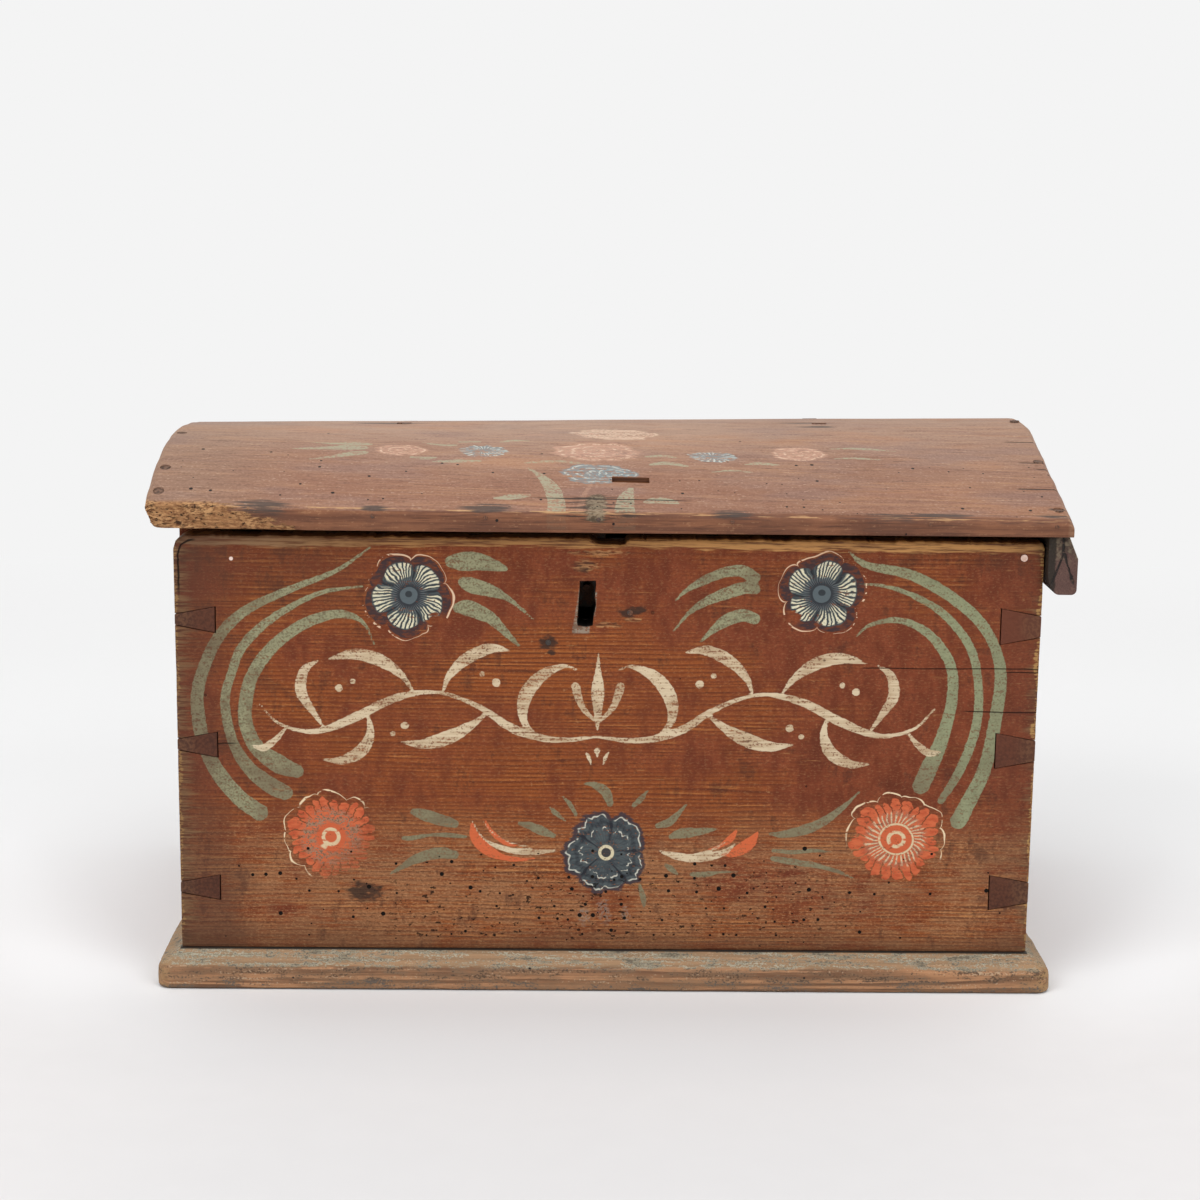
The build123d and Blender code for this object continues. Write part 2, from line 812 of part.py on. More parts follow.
# Bolt: a bar in two guides, with an arm whose finger slides through the staple
with BuildPart() as lock_bolt:
    finger_tip = staple_x + staple_w / 2 + finger_gap
    arm_left = staple_x + staple_w / 2 + bolt_throw + arm_gap
    with BuildSketch(Plane.XZ.offset(-bolt_front)):
        with BuildLine():
            Polyline(
                (bolt_left_end, bolt_z),
                (keyhole_x - talon_w / 2, bolt_z),
                (keyhole_x - talon_w / 2 + talon_slope, bolt_z + talon_h),
                (keyhole_x + talon_w / 2 - talon_slope, bolt_z + talon_h),
                (keyhole_x + talon_w / 2, bolt_z),
                (bolt_right_end, bolt_z),
                (bolt_right_end, bolt_top),
                (arm_left + arm_w, bolt_top),
                (arm_left + arm_w, finger_z + finger_h),
                (finger_tip, finger_z + finger_h),
                (finger_tip, finger_z),
                (arm_left, finger_z),
                (arm_left, bolt_top),
                (bolt_left_end, bolt_top),
                close=True,
            )
        make_face()
    extrude(amount=-bolt_t)
lock_bolt.part.label = "lock_bolt"

# Guides: two iron loops riveted to the plate, one at each end of the bolt
with BuildPart() as bolt_guides:
    guide_back = bolt_back + guide_play + guide_wall
    for guide_left in (
        bolt_left_end + guide_w,
        bolt_right_end - bolt_throw - guide_end_gap - guide_w,
    ):
        with BuildSketch(Plane.YZ.offset(guide_left)):
            with Locations(((plate_face + guide_back) / 2, bolt_z + bolt_h / 2)):
                Rectangle(guide_back - plate_face, bolt_h + 2 * (guide_play + guide_wall))
            with Locations(((bolt_front + bolt_back) / 2, bolt_z + bolt_h / 2)):
                Rectangle(
                    bolt_t + 2 * guide_play, bolt_h + 2 * guide_play, mode=Mode.SUBTRACT
                )
        extrude(amount=guide_w)
bolt_guides.part.label = "bolt_guides"

# Spring: a thin leaf on a foot, pressing on the top of the bolt
with BuildPart() as bolt_spring:
    tip_x = staple_x - staple_w / 2 - spring_staple_gap
    foot_x = tip_x - spring_len
    with BuildSketch(Plane.XZ.offset(-bolt_front)):
        with BuildLine():
            Polyline(
                (foot_x, bolt_top + spring_rise),
                (tip_x - spring_tip, bolt_top + spring_gap),
                (tip_x, bolt_top + spring_rise),
                (tip_x, bolt_top + spring_rise + spring_t),
                (tip_x - spring_tip, bolt_top + spring_gap + spring_t),
                (foot_x, bolt_top + spring_rise + spring_t),
                close=True,
            )
        make_face()
    extrude(amount=-bolt_t)
    with BuildSketch(Plane.XZ.offset(-plate_face)):
        with Locations((foot_x - spring_foot_w / 2, bolt_top + spring_rise)):
            Rectangle(
                spring_foot_w, spring_foot_h, align=(Align.CENTER, Align.MIN)
            )
    extrude(amount=plate_face - bolt_back)
bolt_spring.part.label = "bolt_spring"

# Cover: a bridge over the key's bit, standing on the lock plate
with BuildPart() as key_cover:
    cover_front = bolt_back + cover_play
    cover_back = cover_front + cover_t
    leg_in = key_sweep_r + key_sweep_gap
    leg_out = leg_in + cover_t
    with BuildSketch(Plane.XY.offset(key_z - cover_h / 2)):
        with BuildLine():
            Polyline(
                (keyhole_x - leg_out, plate_face),
                (keyhole_x - leg_out, cover_back),
                (keyhole_x + leg_out, cover_back),
                (keyhole_x + leg_out, plate_face),
                (keyhole_x + leg_in, plate_face),
                (keyhole_x + leg_in, cover_front),
                (keyhole_x - leg_in, cover_front),
                (keyhole_x - leg_in, plate_face),
                close=True,
            )
        make_face()
    extrude(amount=bolt_z - guide_play - key_z + cover_h / 2)
    extrude(
        circles(Plane.XZ.offset(-cover_front), [(keyhole_x, key_z)], key_pin_r + nail_gap),
        amount=-cover_t,
        mode=Mode.SUBTRACT,
    )
key_cover.part.label = "key_cover"

# Key pin for a hollow key, riveted in the cover and pointing at the keyhole
with BuildPart() as key_pin:
    rivet_plane = Plane.XZ.offset(-cover_back)
    extrude(
        circles(rivet_plane, [(keyhole_x, key_z)], key_pin_r),
        amount=cover_back - plate_face - key_pin_short,
    )
    extrude(circles(rivet_plane, [(keyhole_x, key_z)], key_rivet_r), amount=-key_rivet_t)
key_pin.part.label = "key_pin"

pieces = [
    bottom_board.part,
    bottom_nails.part,
    front_board.part,
    back_board.part,
    left_side_board.part,
    right_side_board.part,
    corner_peg.part,
    lid.part,
    lip_nails.part,
    right_lid_cleat.part,
    cleat_pegs.part,
    left_peg_stubs.part,
    strap_nails.part,
    leaf_nails.part,
    lock_plate.part,
    lock_nails.part,
    lid_staple.part,
    lock_bolt.part,
    bolt_guides.part,
    bolt_spring.part,
    key_cover.part,
    key_pin.part,
]
for piece in pieces + hinge_parts:
    export_step(piece, "parts/" + piece.label + ".step")

print("hinge axis at y", round(hinge_y, 2), "z", round(hinge_z, 2))
print("crest at z", round(crest_z, 2), "bolt at z", round(bolt_z, 2))
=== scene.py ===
"""A painted wooden box with a hinged domed lid, dressed over its fixed frame."""

import json

import bmesh
import bpy
import numpy as np
from mathutils import Matrix, Vector


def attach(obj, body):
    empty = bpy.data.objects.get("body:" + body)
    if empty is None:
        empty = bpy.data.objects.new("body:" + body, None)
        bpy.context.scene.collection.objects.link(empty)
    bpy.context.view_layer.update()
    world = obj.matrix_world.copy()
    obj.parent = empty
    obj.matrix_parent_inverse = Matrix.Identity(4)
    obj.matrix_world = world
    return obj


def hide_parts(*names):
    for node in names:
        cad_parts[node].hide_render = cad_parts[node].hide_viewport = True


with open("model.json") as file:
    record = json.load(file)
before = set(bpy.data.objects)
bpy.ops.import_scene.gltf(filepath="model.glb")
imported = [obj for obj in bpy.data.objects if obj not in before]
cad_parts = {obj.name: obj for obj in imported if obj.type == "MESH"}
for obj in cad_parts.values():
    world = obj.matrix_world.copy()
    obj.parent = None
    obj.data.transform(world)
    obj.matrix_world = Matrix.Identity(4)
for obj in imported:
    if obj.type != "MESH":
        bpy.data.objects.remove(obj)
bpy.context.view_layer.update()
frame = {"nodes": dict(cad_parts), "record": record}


# ---------------------------------------------------------------- bottom board
# The bottom is one pine plank, grain along its length. It stands out past the
# walls at the front and both ends, where its upper edge is planed to a bevel.
# It is nailed up into the walls; grey-green paint is left only on the bevel.
def ripple(u, v, seed):
    """Smooth random heights, -1 to 1: a table of random numbers, read between its
    points with an S-shaped ease. u and v count the table's cells."""
    cells = 256
    table = np.random.default_rng(seed).uniform(-1, 1, (cells, cells))
    i, j = np.floor(u).astype(int), np.floor(v).astype(int)
    p, q = u - i, v - j
    p, q = p * p * (3 - 2 * p), q * q * (3 - 2 * q)
    i, j = i % cells, j % cells
    k, m = (i + 1) % cells, (j + 1) % cells
    low = table[i, j] * (1 - p) + table[k, j] * p
    high = table[i, m] * (1 - p) + table[k, m] * p
    return low * (1 - q) + high * q


def closed_tube(rings):
    """Faces of a tube: rings of points joined by squares, each end closed by one face."""
    count, size = rings.shape[:2]
    numbers = np.arange(count * size).reshape(count, size)
    after = np.roll(numbers, -1, axis=1)
    squares = np.stack([numbers[:-1], after[:-1], after[1:], numbers[1:]], axis=-1)
    ends = [numbers[0, ::-1].tolist(), numbers[-1].tolist()]
    return rings.reshape(-1, 3), squares.reshape(-1, 4).tolist() + ends


sharp_angle = np.radians(35.0)


def make_piece(name, points, faces):
    """A mesh object whose faces look outwards, smooth but for its sharp edges."""
    mesh = bpy.data.meshes.new(name)
    mesh.from_pydata(points.tolist(), [], faces)
    shell = bmesh.new()
    shell.from_mesh(mesh)
    bmesh.ops.recalc_face_normals(shell, faces=shell.faces)
    shell.to_mesh(mesh)
    shell.free()
    piece = bpy.data.objects.new(name, mesh)
    bpy.context.scene.collection.objects.link(piece)
    smooth_faces(piece)
    return piece


def smooth_faces(piece):
    """Smooth shading, with the edges over the sharp angle kept sharp."""
    piece.data.shade_smooth()
    piece.data.set_sharp_from_angle(angle=sharp_angle)


def prism(outline, axis, start, end):
    """Points and faces of a prism: a flat outline carried along an axis from start to end."""
    outline = np.asarray(outline, float)
    ends = [np.insert(outline, axis, place, axis=1) for place in (start, end)]
    return closed_tube(np.stack(ends))


def circle(x, y, radius, count=24):
    """Points round a circle."""
    turn = np.linspace(0, 2 * np.pi, count, endpoint=False)
    return np.stack([x + radius * np.cos(turn), y + radius * np.sin(turn)], axis=1)


def cut(piece, tools):
    """Cut prisms out of a piece, as a chisel or a drill would, and keep the result."""
    points, faces, start = [], [], 0
    for corners, sides in tools:
        points.append(corners)
        faces += [[start + number for number in side] for side in sides]
        start += len(corners)
    tool = make_piece("cutting_tool", np.concatenate(points), faces)
    boolean = piece.modifiers.new("cut", "BOOLEAN")
    boolean.object = tool
    boolean.solver = "EXACT"
    carved = bpy.data.meshes.new_from_object(
        piece.evaluated_get(bpy.context.evaluated_depsgraph_get())
    )
    piece.modifiers.clear()
    piece.data = carved
    bpy.data.objects.remove(tool)
    smooth_faces(piece)


def tint(colour):
    """A colour in the numbers that a shader uses, from three numbers as a screen shows them,
    0 to 255. A colour that is worked out by nodes stays as it is."""
    if isinstance(colour, Shade):
        return colour
    parts = [part / 255 for part in colour]
    linear = [p / 12.92 if p < 0.04 else ((p + 0.055) / 1.055) ** 2.4 for p in parts]
    return (*linear, 1.0)


class Shade:
    """One value inside a material. Sums in Python add the nodes that work them out."""

    def __init__(self, tree, socket):
        self.tree = tree
        self.socket = socket

    def node(self, kind, settings, inputs, output=0):
        """Add any node: first its settings, then the values or links of its sockets."""
        made = self.tree.nodes.new("ShaderNode" + kind)
        for name, value in settings.items():
            setattr(made, name, value)
        for name, value in inputs.items():
            if isinstance(value, Shade):
                self.tree.links.new(value.socket, made.inputs[name])
            else:
                made.inputs[name].default_value = value
        return Shade(self.tree, made.outputs[output])

    def math(self, operation, *others):
        values = dict(enumerate((self,) + others))
        return self.node("Math", {"operation": operation}, values)

    def __add__(self, other):
        return self.math("ADD", other)

    def __mul__(self, other):
        return self.math("MULTIPLY", other)

    def __sub__(self, other):
        return self.math("SUBTRACT", other)

    def __truediv__(self, other):
        return self.math("DIVIDE", other)

    def __pow__(self, other):
        return self.math("POWER", other)

    def __abs__(self):
        return self.math("ABSOLUTE")

    def __rsub__(self, other):
        return self.node("Math", {"operation": "SUBTRACT"}, {0: other, 1: self})

    __radd__ = __add__
    __rmul__ = __mul__

    def sine(self):
        return self.math("SINE")

    def cosine(self):
        return self.math("COSINE")

    def capped(self):
        """No more than 1."""
        return self.math("MINIMUM", 1.0)

    def step(self, low, high):
        """0 below low, 1 above high, and a smooth rise between; high may be the lower."""
        limits = {"Value": self, "From Min": low, "From Max": high}
        return self.node("MapRange", {"interpolation_type": "SMOOTHSTEP"}, limits)

    def sway(self, amount):
        """A noise made to swing about zero, times an amount."""
        return (self - 0.5) * amount

    def mixed(self, other, share=0.5):
        """This value and another in one, the other by its share."""
        return self * (1 - share) + other * share

    def most(self, *others):
        """The highest of several values."""
        highest = self
        for other in others:
            highest = highest.math("MAXIMUM", other)
        return highest

    def blend(self, below, above):
        """A colour: below where this mask is 0, above where it is 1."""
        sockets = {0: self, 6: tint(below), 7: tint(above)}
        return self.node("Mix", {"data_type": "RGBA"}, sockets, 2)

    def parts(self):
        """The x, y and z of a place."""
        return [self.node("SeparateXYZ", {}, {0: self}, axis) for axis in range(3)]

    def noise(self, scale, detail=2.0, seed=0.0, roughness=0.5):
        """Cloudy noise, about 0.5. scale is its cells to the metre: along x, y and z, or one
        number for all three."""
        if isinstance(scale, int):
            scale = (scale,) * 3
        sockets = {0: self, 1: scale, 2: (seed,) * 3}
        stretched = self.node("VectorMath", {"operation": "MULTIPLY_ADD"}, sockets)
        settings = {"Vector": stretched, "Scale": 1.0, "Detail": detail, "Roughness": roughness}
        return stretched.node("TexNoise", {}, settings)


class Coats:
    """Colours laid one over another, each where its mask is 1."""

    def __init__(self, ground):
        self.colour = ground

    def lay(self, mask, colour):
        self.colour = mask.blend(self.colour, colour)


def new_material(name):
    """A material, and the place on the object, in metres, that its patterns read."""
    material = bpy.data.materials.new(name)
    material.use_nodes = True
    tree = material.node_tree
    coordinates = tree.nodes.new("ShaderNodeTexCoord")
    return material, Shade(tree, coordinates.outputs["Object"])


def finish_surface(material, colour, roughness, height, depth, gloss=0.35):
    """Join a colour, a roughness and a height from 0 to 1, depth metres high, to the shader.
    gloss is how strongly the surface mirrors, with 0.5 for varnish."""
    shader = material.node_tree.nodes["Principled BSDF"]
    shader.inputs["Specular IOR Level"].default_value = gloss
    bump = height.node("Bump", {}, {"Strength": 1.0, "Distance": depth, "Height": height})
    links = material.node_tree.links
    links.new(colour.socket, shader.inputs["Base Color"])
    links.new(roughness.socket, shader.inputs["Roughness"])
    links.new(bump.socket, shader.inputs["Normal"])


def pine(place, grain, heart, pitch, seed=0.0, bend=0.006):
    """Sawn pine. Its rings lie round a heart line along the grain, bent by a slow noise and
    unevenly spaced; each darkens slowly and ends at once. Returns late wood and fibres."""
    stretch, quick, fine = [16.0] * 3, [120.0] * 3, [1400.0] * 3
    for scale, slow_way in ((stretch, 2.5), (quick, 4.0), (fine, 28.0)):
        scale["xyz".index(grain)] = slow_way
    across = [part for part, axis in zip(place.parts(), "xyz") if axis != grain]
    off = [part - middle for part, middle in zip(across, heart)]
    radius = (off[0] * off[0] + off[1] * off[1]) ** 0.5
    spaced = place.noise(quick, 2.0, seed + 1).sway(pitch) * 3.0
    ring = ((radius + place.noise(stretch, 2.0, seed).sway(bend) + spaced) / pitch).math("FRACT")
    late = ring.step(0.15, 0.85) * ring.step(1.0, 0.9)
    return late, place.noise(fine, 2.0, seed)


def beetle_holes(across, up, scale, chance, widest=0.0012):
    """Beetle holes: round dots in some cells of a flat cell pattern. chance is the share of
    the cells that are eaten, and widest the largest radius in metres."""
    spot = across.node("CombineXYZ", {}, {0: across, 1: up})
    flat = {"voronoi_dimensions": "2D"}
    settings = {"Vector": spot, "Scale": scale, "Randomness": 1.0}
    away = spot.node("TexVoronoi", flat, settings)
    pick = spot.node("TexVoronoi", flat, settings, 1).parts()
    narrowest = 0.0004
    radius = narrowest + pick[1] * pick[1] * (widest - narrowest)
    return (away / scale - radius).step(0.00015, -0.00015) * (chance - pick[0]).step(0.0, 0.02)


# Half its length, its front and back edges, and the radius of its front corners
plinth_side = 0.263
plinth_front = -0.159
plinth_back = 0.143
plinth_round = 0.0085
# In mm: heights up the edge, how far in each level lies, and how far it is worn at most
plinth_z = np.array([0.0, 0.6, 1.8, 4, 6, 8, 10, 11.8, 13, 13.9, 14.7, 16, 17.5, 19, 20.0])
plinth_in = np.array([1.4, 0.5, 0, 0, 0, 0, 0, 0.05, 0.25, 0.9, 2.4, 5.4, 8.9, 12.3, 14.6])
plinth_worn = np.array([0.6, 0.6, 0.4, 0.3, 0.3, 0.3, 0.4, 0.7, 1.2, 1.6, 1.2, 0.5, 0.3, 0.2, 0])


def plan_loop(side, front, back, corner, count=230):
    """A rectangle seen from above with two rounded front corners, from the front left."""
    turn = np.linspace(0, np.pi / 2, 9)[1:-1]
    middle_x, middle_y = side - corner, front + corner
    along = np.linspace(-middle_x, middle_x, count)
    up = np.linspace(middle_y, back, count // 2)
    runs = [
        (along, np.full(count, front)),
        (middle_x + corner * np.sin(turn), middle_y - corner * np.cos(turn)),
        (np.full(len(up), side), up),
        (along[-2:0:-1], np.full(count - 2, back)),
        (np.full(len(up), -side), up[::-1]),
        (-middle_x - corner * np.cos(turn), middle_y - corner * np.sin(turn)),
    ]
    return np.concatenate([np.stack(run, 1) for run in runs])


def worn_plinth():
    """One plan loop for each level of the edge, drawn in where the wood has worn: a slow
    and a quick noise along the loop, strongest at the arris."""
    rings = []
    for z, inward, worn in zip(plinth_z / 1000, plinth_in / 1000, plinth_worn / 1000):
        corner = max(plinth_round - inward * 0.5, 0.002)
        loop = plan_loop(plinth_side - inward * 0.82, plinth_front + inward, plinth_back, corner)
        x, y = loop[:, 0], loop[:, 1]
        slow = ripple(x * 60 + 9, y * 60 + z * 90, 3)
        quick = ripple(x * 420, y * 420 + z * 300, 4)
        wear = 0.35 * (1 + slow) + 0.3 * np.abs(quick)
        toward = np.stack([-np.sign(x) * (np.abs(x) > 0.25), (y < -0.15) * 1.0], 1)
        rings.append(np.column_stack([loop + toward * (wear * worn)[:, None], np.full(len(x), z)]))
    return closed_tube(np.array(rings))


bottom = make_piece("bottom_board_worn", *worn_plinth())
# Nails into the middle of the walls, their heads sunk into the underside
wall_middle_y, wall_middle_x, head_hole, head_depth = 0.1315, 0.2385, 0.0041, 0.0014
floor_nails = [(x, s * wall_middle_y) for x in (-0.204, -0.068, 0.068, 0.204) for s in (-1, 1)]
floor_nails += [(s * wall_middle_x, y) for s in (-1, 1) for y in (-0.074, 0.074)]
cut(bottom, [prism(circle(x, y, head_hole), 2, -0.001, head_depth) for x, y in floor_nails])
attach(bottom, "box")
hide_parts("bottom_board")

material, place = new_material("worn_plinth_pine")
x, y, z = place.parts()
late, fibre = pine(place, "x", (0.05, -0.11), 0.0026, seed=2.0, bend=0.009)
grime = place.noise((14, 60, 90), 4.0, 3.0, 0.6)
patch = place.noise((60, 160, 260), 5.0, 21.0, 0.65)
streaks = place.noise((24, 300, 420), 4.0, 5.0, 0.65)
fine = place.noise((700, 800, 900), 3.0, 9.0)
bare = (late * 0.3 + fibre * 0.4 + streaks * 0.6 + patch * 0.3).step(0.55, 1.0)
coats = Coats(bare.blend((172, 126, 90), (108, 76, 54)))
orange = grime.step(0.5, 0.62) * fibre.step(0.3, 0.6)
coats.lay(orange * 0.25, (168, 116, 78))
dull = patch.mixed(grime, 0.4).step(0.44, 0.56)
coats.lay(dull * 0.55, (124, 98, 74))
bevel = (z + patch.sway(0.004)).step(0.0132, 0.0146)
coats.lay(bevel * 0.6, (158, 134, 104))
green = (streaks * 0.3 + patch * 0.4 + fine * 0.3 + bevel * 0.04).step(0.53, 0.57)
green = green * (bevel * 0.85 + 0.1)
paint = fine.step(0.4, 0.6).blend((130, 124, 104), (180, 174, 154))
coats.lay(green, paint)
sides = (abs(x).step(0.2525, 0.2575) + x.step(0.235, 0.255) * y.step(-0.15, -0.156) * 0.5)
coats.lay(sides * streaks.step(0.35, 0.58) * 0.6, (162, 128, 88))
flakes = patch.mixed(fine, 0.45).step(0.565, 0.59) * z.step(0.0085, 0.004)
flake = fine.step(0.4, 0.6).blend((128, 124, 118), (160, 156, 148))
coats.lay(flakes * 0.8, flake)
dirt = fine.mixed(patch).step(0.53, 0.6)
coats.lay(dirt * 0.75, (60, 44, 34))
dry = fine.mixed(streaks).step(0.42, 0.36)
coats.lay(dry * 0.62, (188, 166, 138))
low = (z + patch.sway(0.002)).step(0.0016, 0.0002)
coats.lay(low * 0.6, (52, 40, 32))
# Painted shadow: a near-black strip on the top, in the crease where the front board stands on it
shadow_gap = (y + 0.144 + patch.sway(0.0008)).step(-0.0012, -0.0004) * z.step(0.018, 0.0192)
shadow_gap = shadow_gap * abs(x).step(0.2515, 0.2505) * y.step(-0.138, -0.142)
coats.lay(shadow_gap * 0.95, (22, 15, 11))
pits = beetle_holes(x, z, 60.0, 0.1)
pits = pits.most(beetle_holes(x, y, 90.0, bevel * 0.07, 0.001))
coats.lay(pits, (28, 20, 14))
height = late * 0.2 + fibre * 0.4 + patch * 0.8 - flakes * 0.1 + (1 - pits) * 0.5
finish_surface(material, coats.colour, fibre * 0.2 + 0.66, height, 0.0007)
bottom.data.materials.append(material)


# ---------------------------------------------------------------- front board
# The front is a pine board, grain along its length, with tails at both ends.
# It is painted red-brown, worn down to orange wood, with flowers, leaves and a
# cream vine by brush. Keyhole, notch and nail ends are round the lock.

# The walls: half their length, their foot and top, and both faces of the front one
wall_side = 0.25
wall_bottom = 0.02
wall_top = 0.267
front_face = -0.143
front_inside = -0.12
pin_heights = [wall_bottom + share * (wall_top - wall_bottom) for share in (0.15, 0.5, 0.8)]


def front_top(x):
    """Height of the board's top edge: worn round at its ends, and notched at the staple."""
    left_round, right_round = 0.0075, 0.0025
    edge = np.clip(left_round - (x + wall_side), 0, left_round)
    other = np.clip(right_round - (wall_side - x), 0, right_round)
    rounded = left_round - np.sqrt(left_round**2 - edge**2)
    rounded = rounded + right_round - np.sqrt(right_round**2 - other**2)
    notch = 0.0033 * np.clip((0.0125 - np.abs(x)) / 0.005, 0, 1)
    splinter = 0.0004 * (ripple(x * 700, x * 0 + 5, 21) + ripple(x * 150, x * 0 + 2, 22) - 0.6)
    return wall_top - rounded - notch * (1 + 0.2 * ripple(x * 600, x * 0, 23)) + splinter


def worn_front():
    """The board's outline, with loop_v as its share of the height, carried along its length.
    The front face is planed a little uneven and its ends are worn round."""
    x = np.linspace(-wall_side, wall_side, 386)
    share = np.linspace(0.002, 0.994, 190)
    face_y = np.full(len(share), front_face)
    loop_y = np.concatenate([face_y, [-0.1427, -0.1419], np.linspace(-0.14, -0.121, 8), [-0.1201],
                             np.full(14, front_inside), np.linspace(-0.121, -0.142, 6)])
    loop_v = np.concatenate([share, [0.9975, 1.0], np.ones(8), [0.9985],
                             np.linspace(0.994, 0.006, 14), np.zeros(6)])
    xx, vv = np.meshgrid(x, loop_v, indexing="ij")
    yy = np.meshgrid(x, loop_y, indexing="ij")[1]
    zz = wall_bottom + vv * (front_top(xx) - wall_bottom)
    at_front = np.clip((-0.138 - yy) / 0.004, 0, 1)
    end = np.clip(1 - (wall_side - np.abs(xx)) / 0.0022, 0, 1)
    nicks = 0.5 * np.clip(ripple(zz * 260, xx * 20, 25), 0, 1) + 0.5 + 0.4 * ripple(zz * 37, xx, 28)
    plane = 0.00018 * (1 + ripple(xx * 22, zz * 60, 26)) + 0.0001 * ripple(xx * 9, zz * 480, 27)
    low = np.clip(1 - (zz - wall_bottom) / 0.002, 0, 1)
    yy = yy + at_front * (plane + 0.0013 * end**2 * nicks + 0.0006 * low)
    return closed_tube(np.stack([xx, yy, zz], axis=-1))


def pin_socket(side, height, pin):
    """Outline, from the front, of one dovetail socket, a hair wider all round than its pin."""
    taper, hair = 0.009, 0.0002
    narrow, wide = (pin - taper) / 2 + hair, pin / 2 + 2 * hair
    outer, inner = side * 0.252, side * 0.2263
    return [(outer, height - narrow), (outer, height + narrow), (inner, height + wide),
            (inner, height - wide)]


front = make_piece("front_board_painted", *worn_front())
# Every tool goes right through the board: along y, from before it to behind it
through = (1, -0.15, -0.11)
sockets = [prism(pin_socket(side, height, pin), *through)
           for side, pin in ((-1, 0.015), (1, 0.021)) for height in pin_heights]
# The keyhole's outline in mm, a little crooked as it was cut
keyhole = [(-17.1, 242.3), (-7.9, 242.6), (-7.7, 240), (-8.2, 234), (-7.6, 228), (-8.8, 222),
           (-9.4, 216.0), (-13, 215.1), (-18.2, 215.9), (-18.6, 218), (-17.9, 228), (-17.4, 236)]
# Two nails of the lock come through the face, and a peg at the upper right
holes = [prism(circle(x, z, r), *through)
         for x, z, r in ((-0.035, 0.206, 0.0017), (0.012, 0.224, 0.0017), (0.2385, 0.258, 0.0021))]
cut(front, sockets + [prism(np.array(keyhole) / 1000, *through)] + holes)
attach(front, "box")
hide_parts("front_board")


def brush(lines, across, up):
    """How deep each place lies in the strokes of one paint: half the stroke's width less
    the distance to its middle line. A line is a list of (place, place, width) in mm."""
    depth = np.full(len(across), -0.01)
    for line in lines:
        marks = np.array(line, float) / 1000
        steps = np.linspace(0, len(marks) - 1, 7 * (len(marks) - 1) + 1)
        whole = np.minimum(steps.astype(int), len(marks) - 2)
        t = (steps - whole)[:, None]
        padded = np.concatenate([2 * marks[:1] - marks[1:2], marks, 2 * marks[-1:] - marks[-2:-1]])
        a, b, c, d = (padded[whole + k] for k in range(4))
        path = 0.5 * (2 * b + (c - a) * t + (2 * a - 5 * b + 4 * c - d) * t**2
                      + (3 * b - a - 3 * c + d) * t**3)
        reach = path[:, 2].max()
        near = ((across > path[:, 0].min() - reach) & (across < path[:, 0].max() + reach)
                & (up > path[:, 1].min() - reach) & (up < path[:, 1].max() + reach))
        spot = np.stack([across[near], up[near]], axis=1)
        best = depth[near]
        for start, end in zip(path[:-1], path[1:]):
            run = end[:2] - start[:2]
            share = np.clip((spot - start[:2]) @ run / max(run @ run, 1e-12), 0, 1)
            away = np.linalg.norm(spot - start[:2] - share[:, None] * run, axis=1)
            half = (start[2] + share * (end[2] - start[2])) / 2
            best = np.maximum(best, half - away)
        depth[near] = best
    return depth


def points_of(piece):
    """Every point of a piece, one row each."""
    places = np.zeros(len(piece.data.vertices) * 3)
    piece.data.vertices.foreach_get("co", places)
    return places.reshape(-1, 3)


def keep_strokes(piece, name, lines, axes):
    """Store the depth in one paint's strokes at every point of a piece, in metres."""
    places = points_of(piece)
    depth = brush(lines, places[:, axes[0]], places[:, axes[1]])
    layer = piece.data.attributes.new(name, "FLOAT", "POINT")
    layer.data.foreach_set("value", depth)


def mirrored(lines, middle):
    """The same strokes turned over about an upright line."""
    return [[(2 * middle - x, z, w) for x, z, w in line] for line in lines]


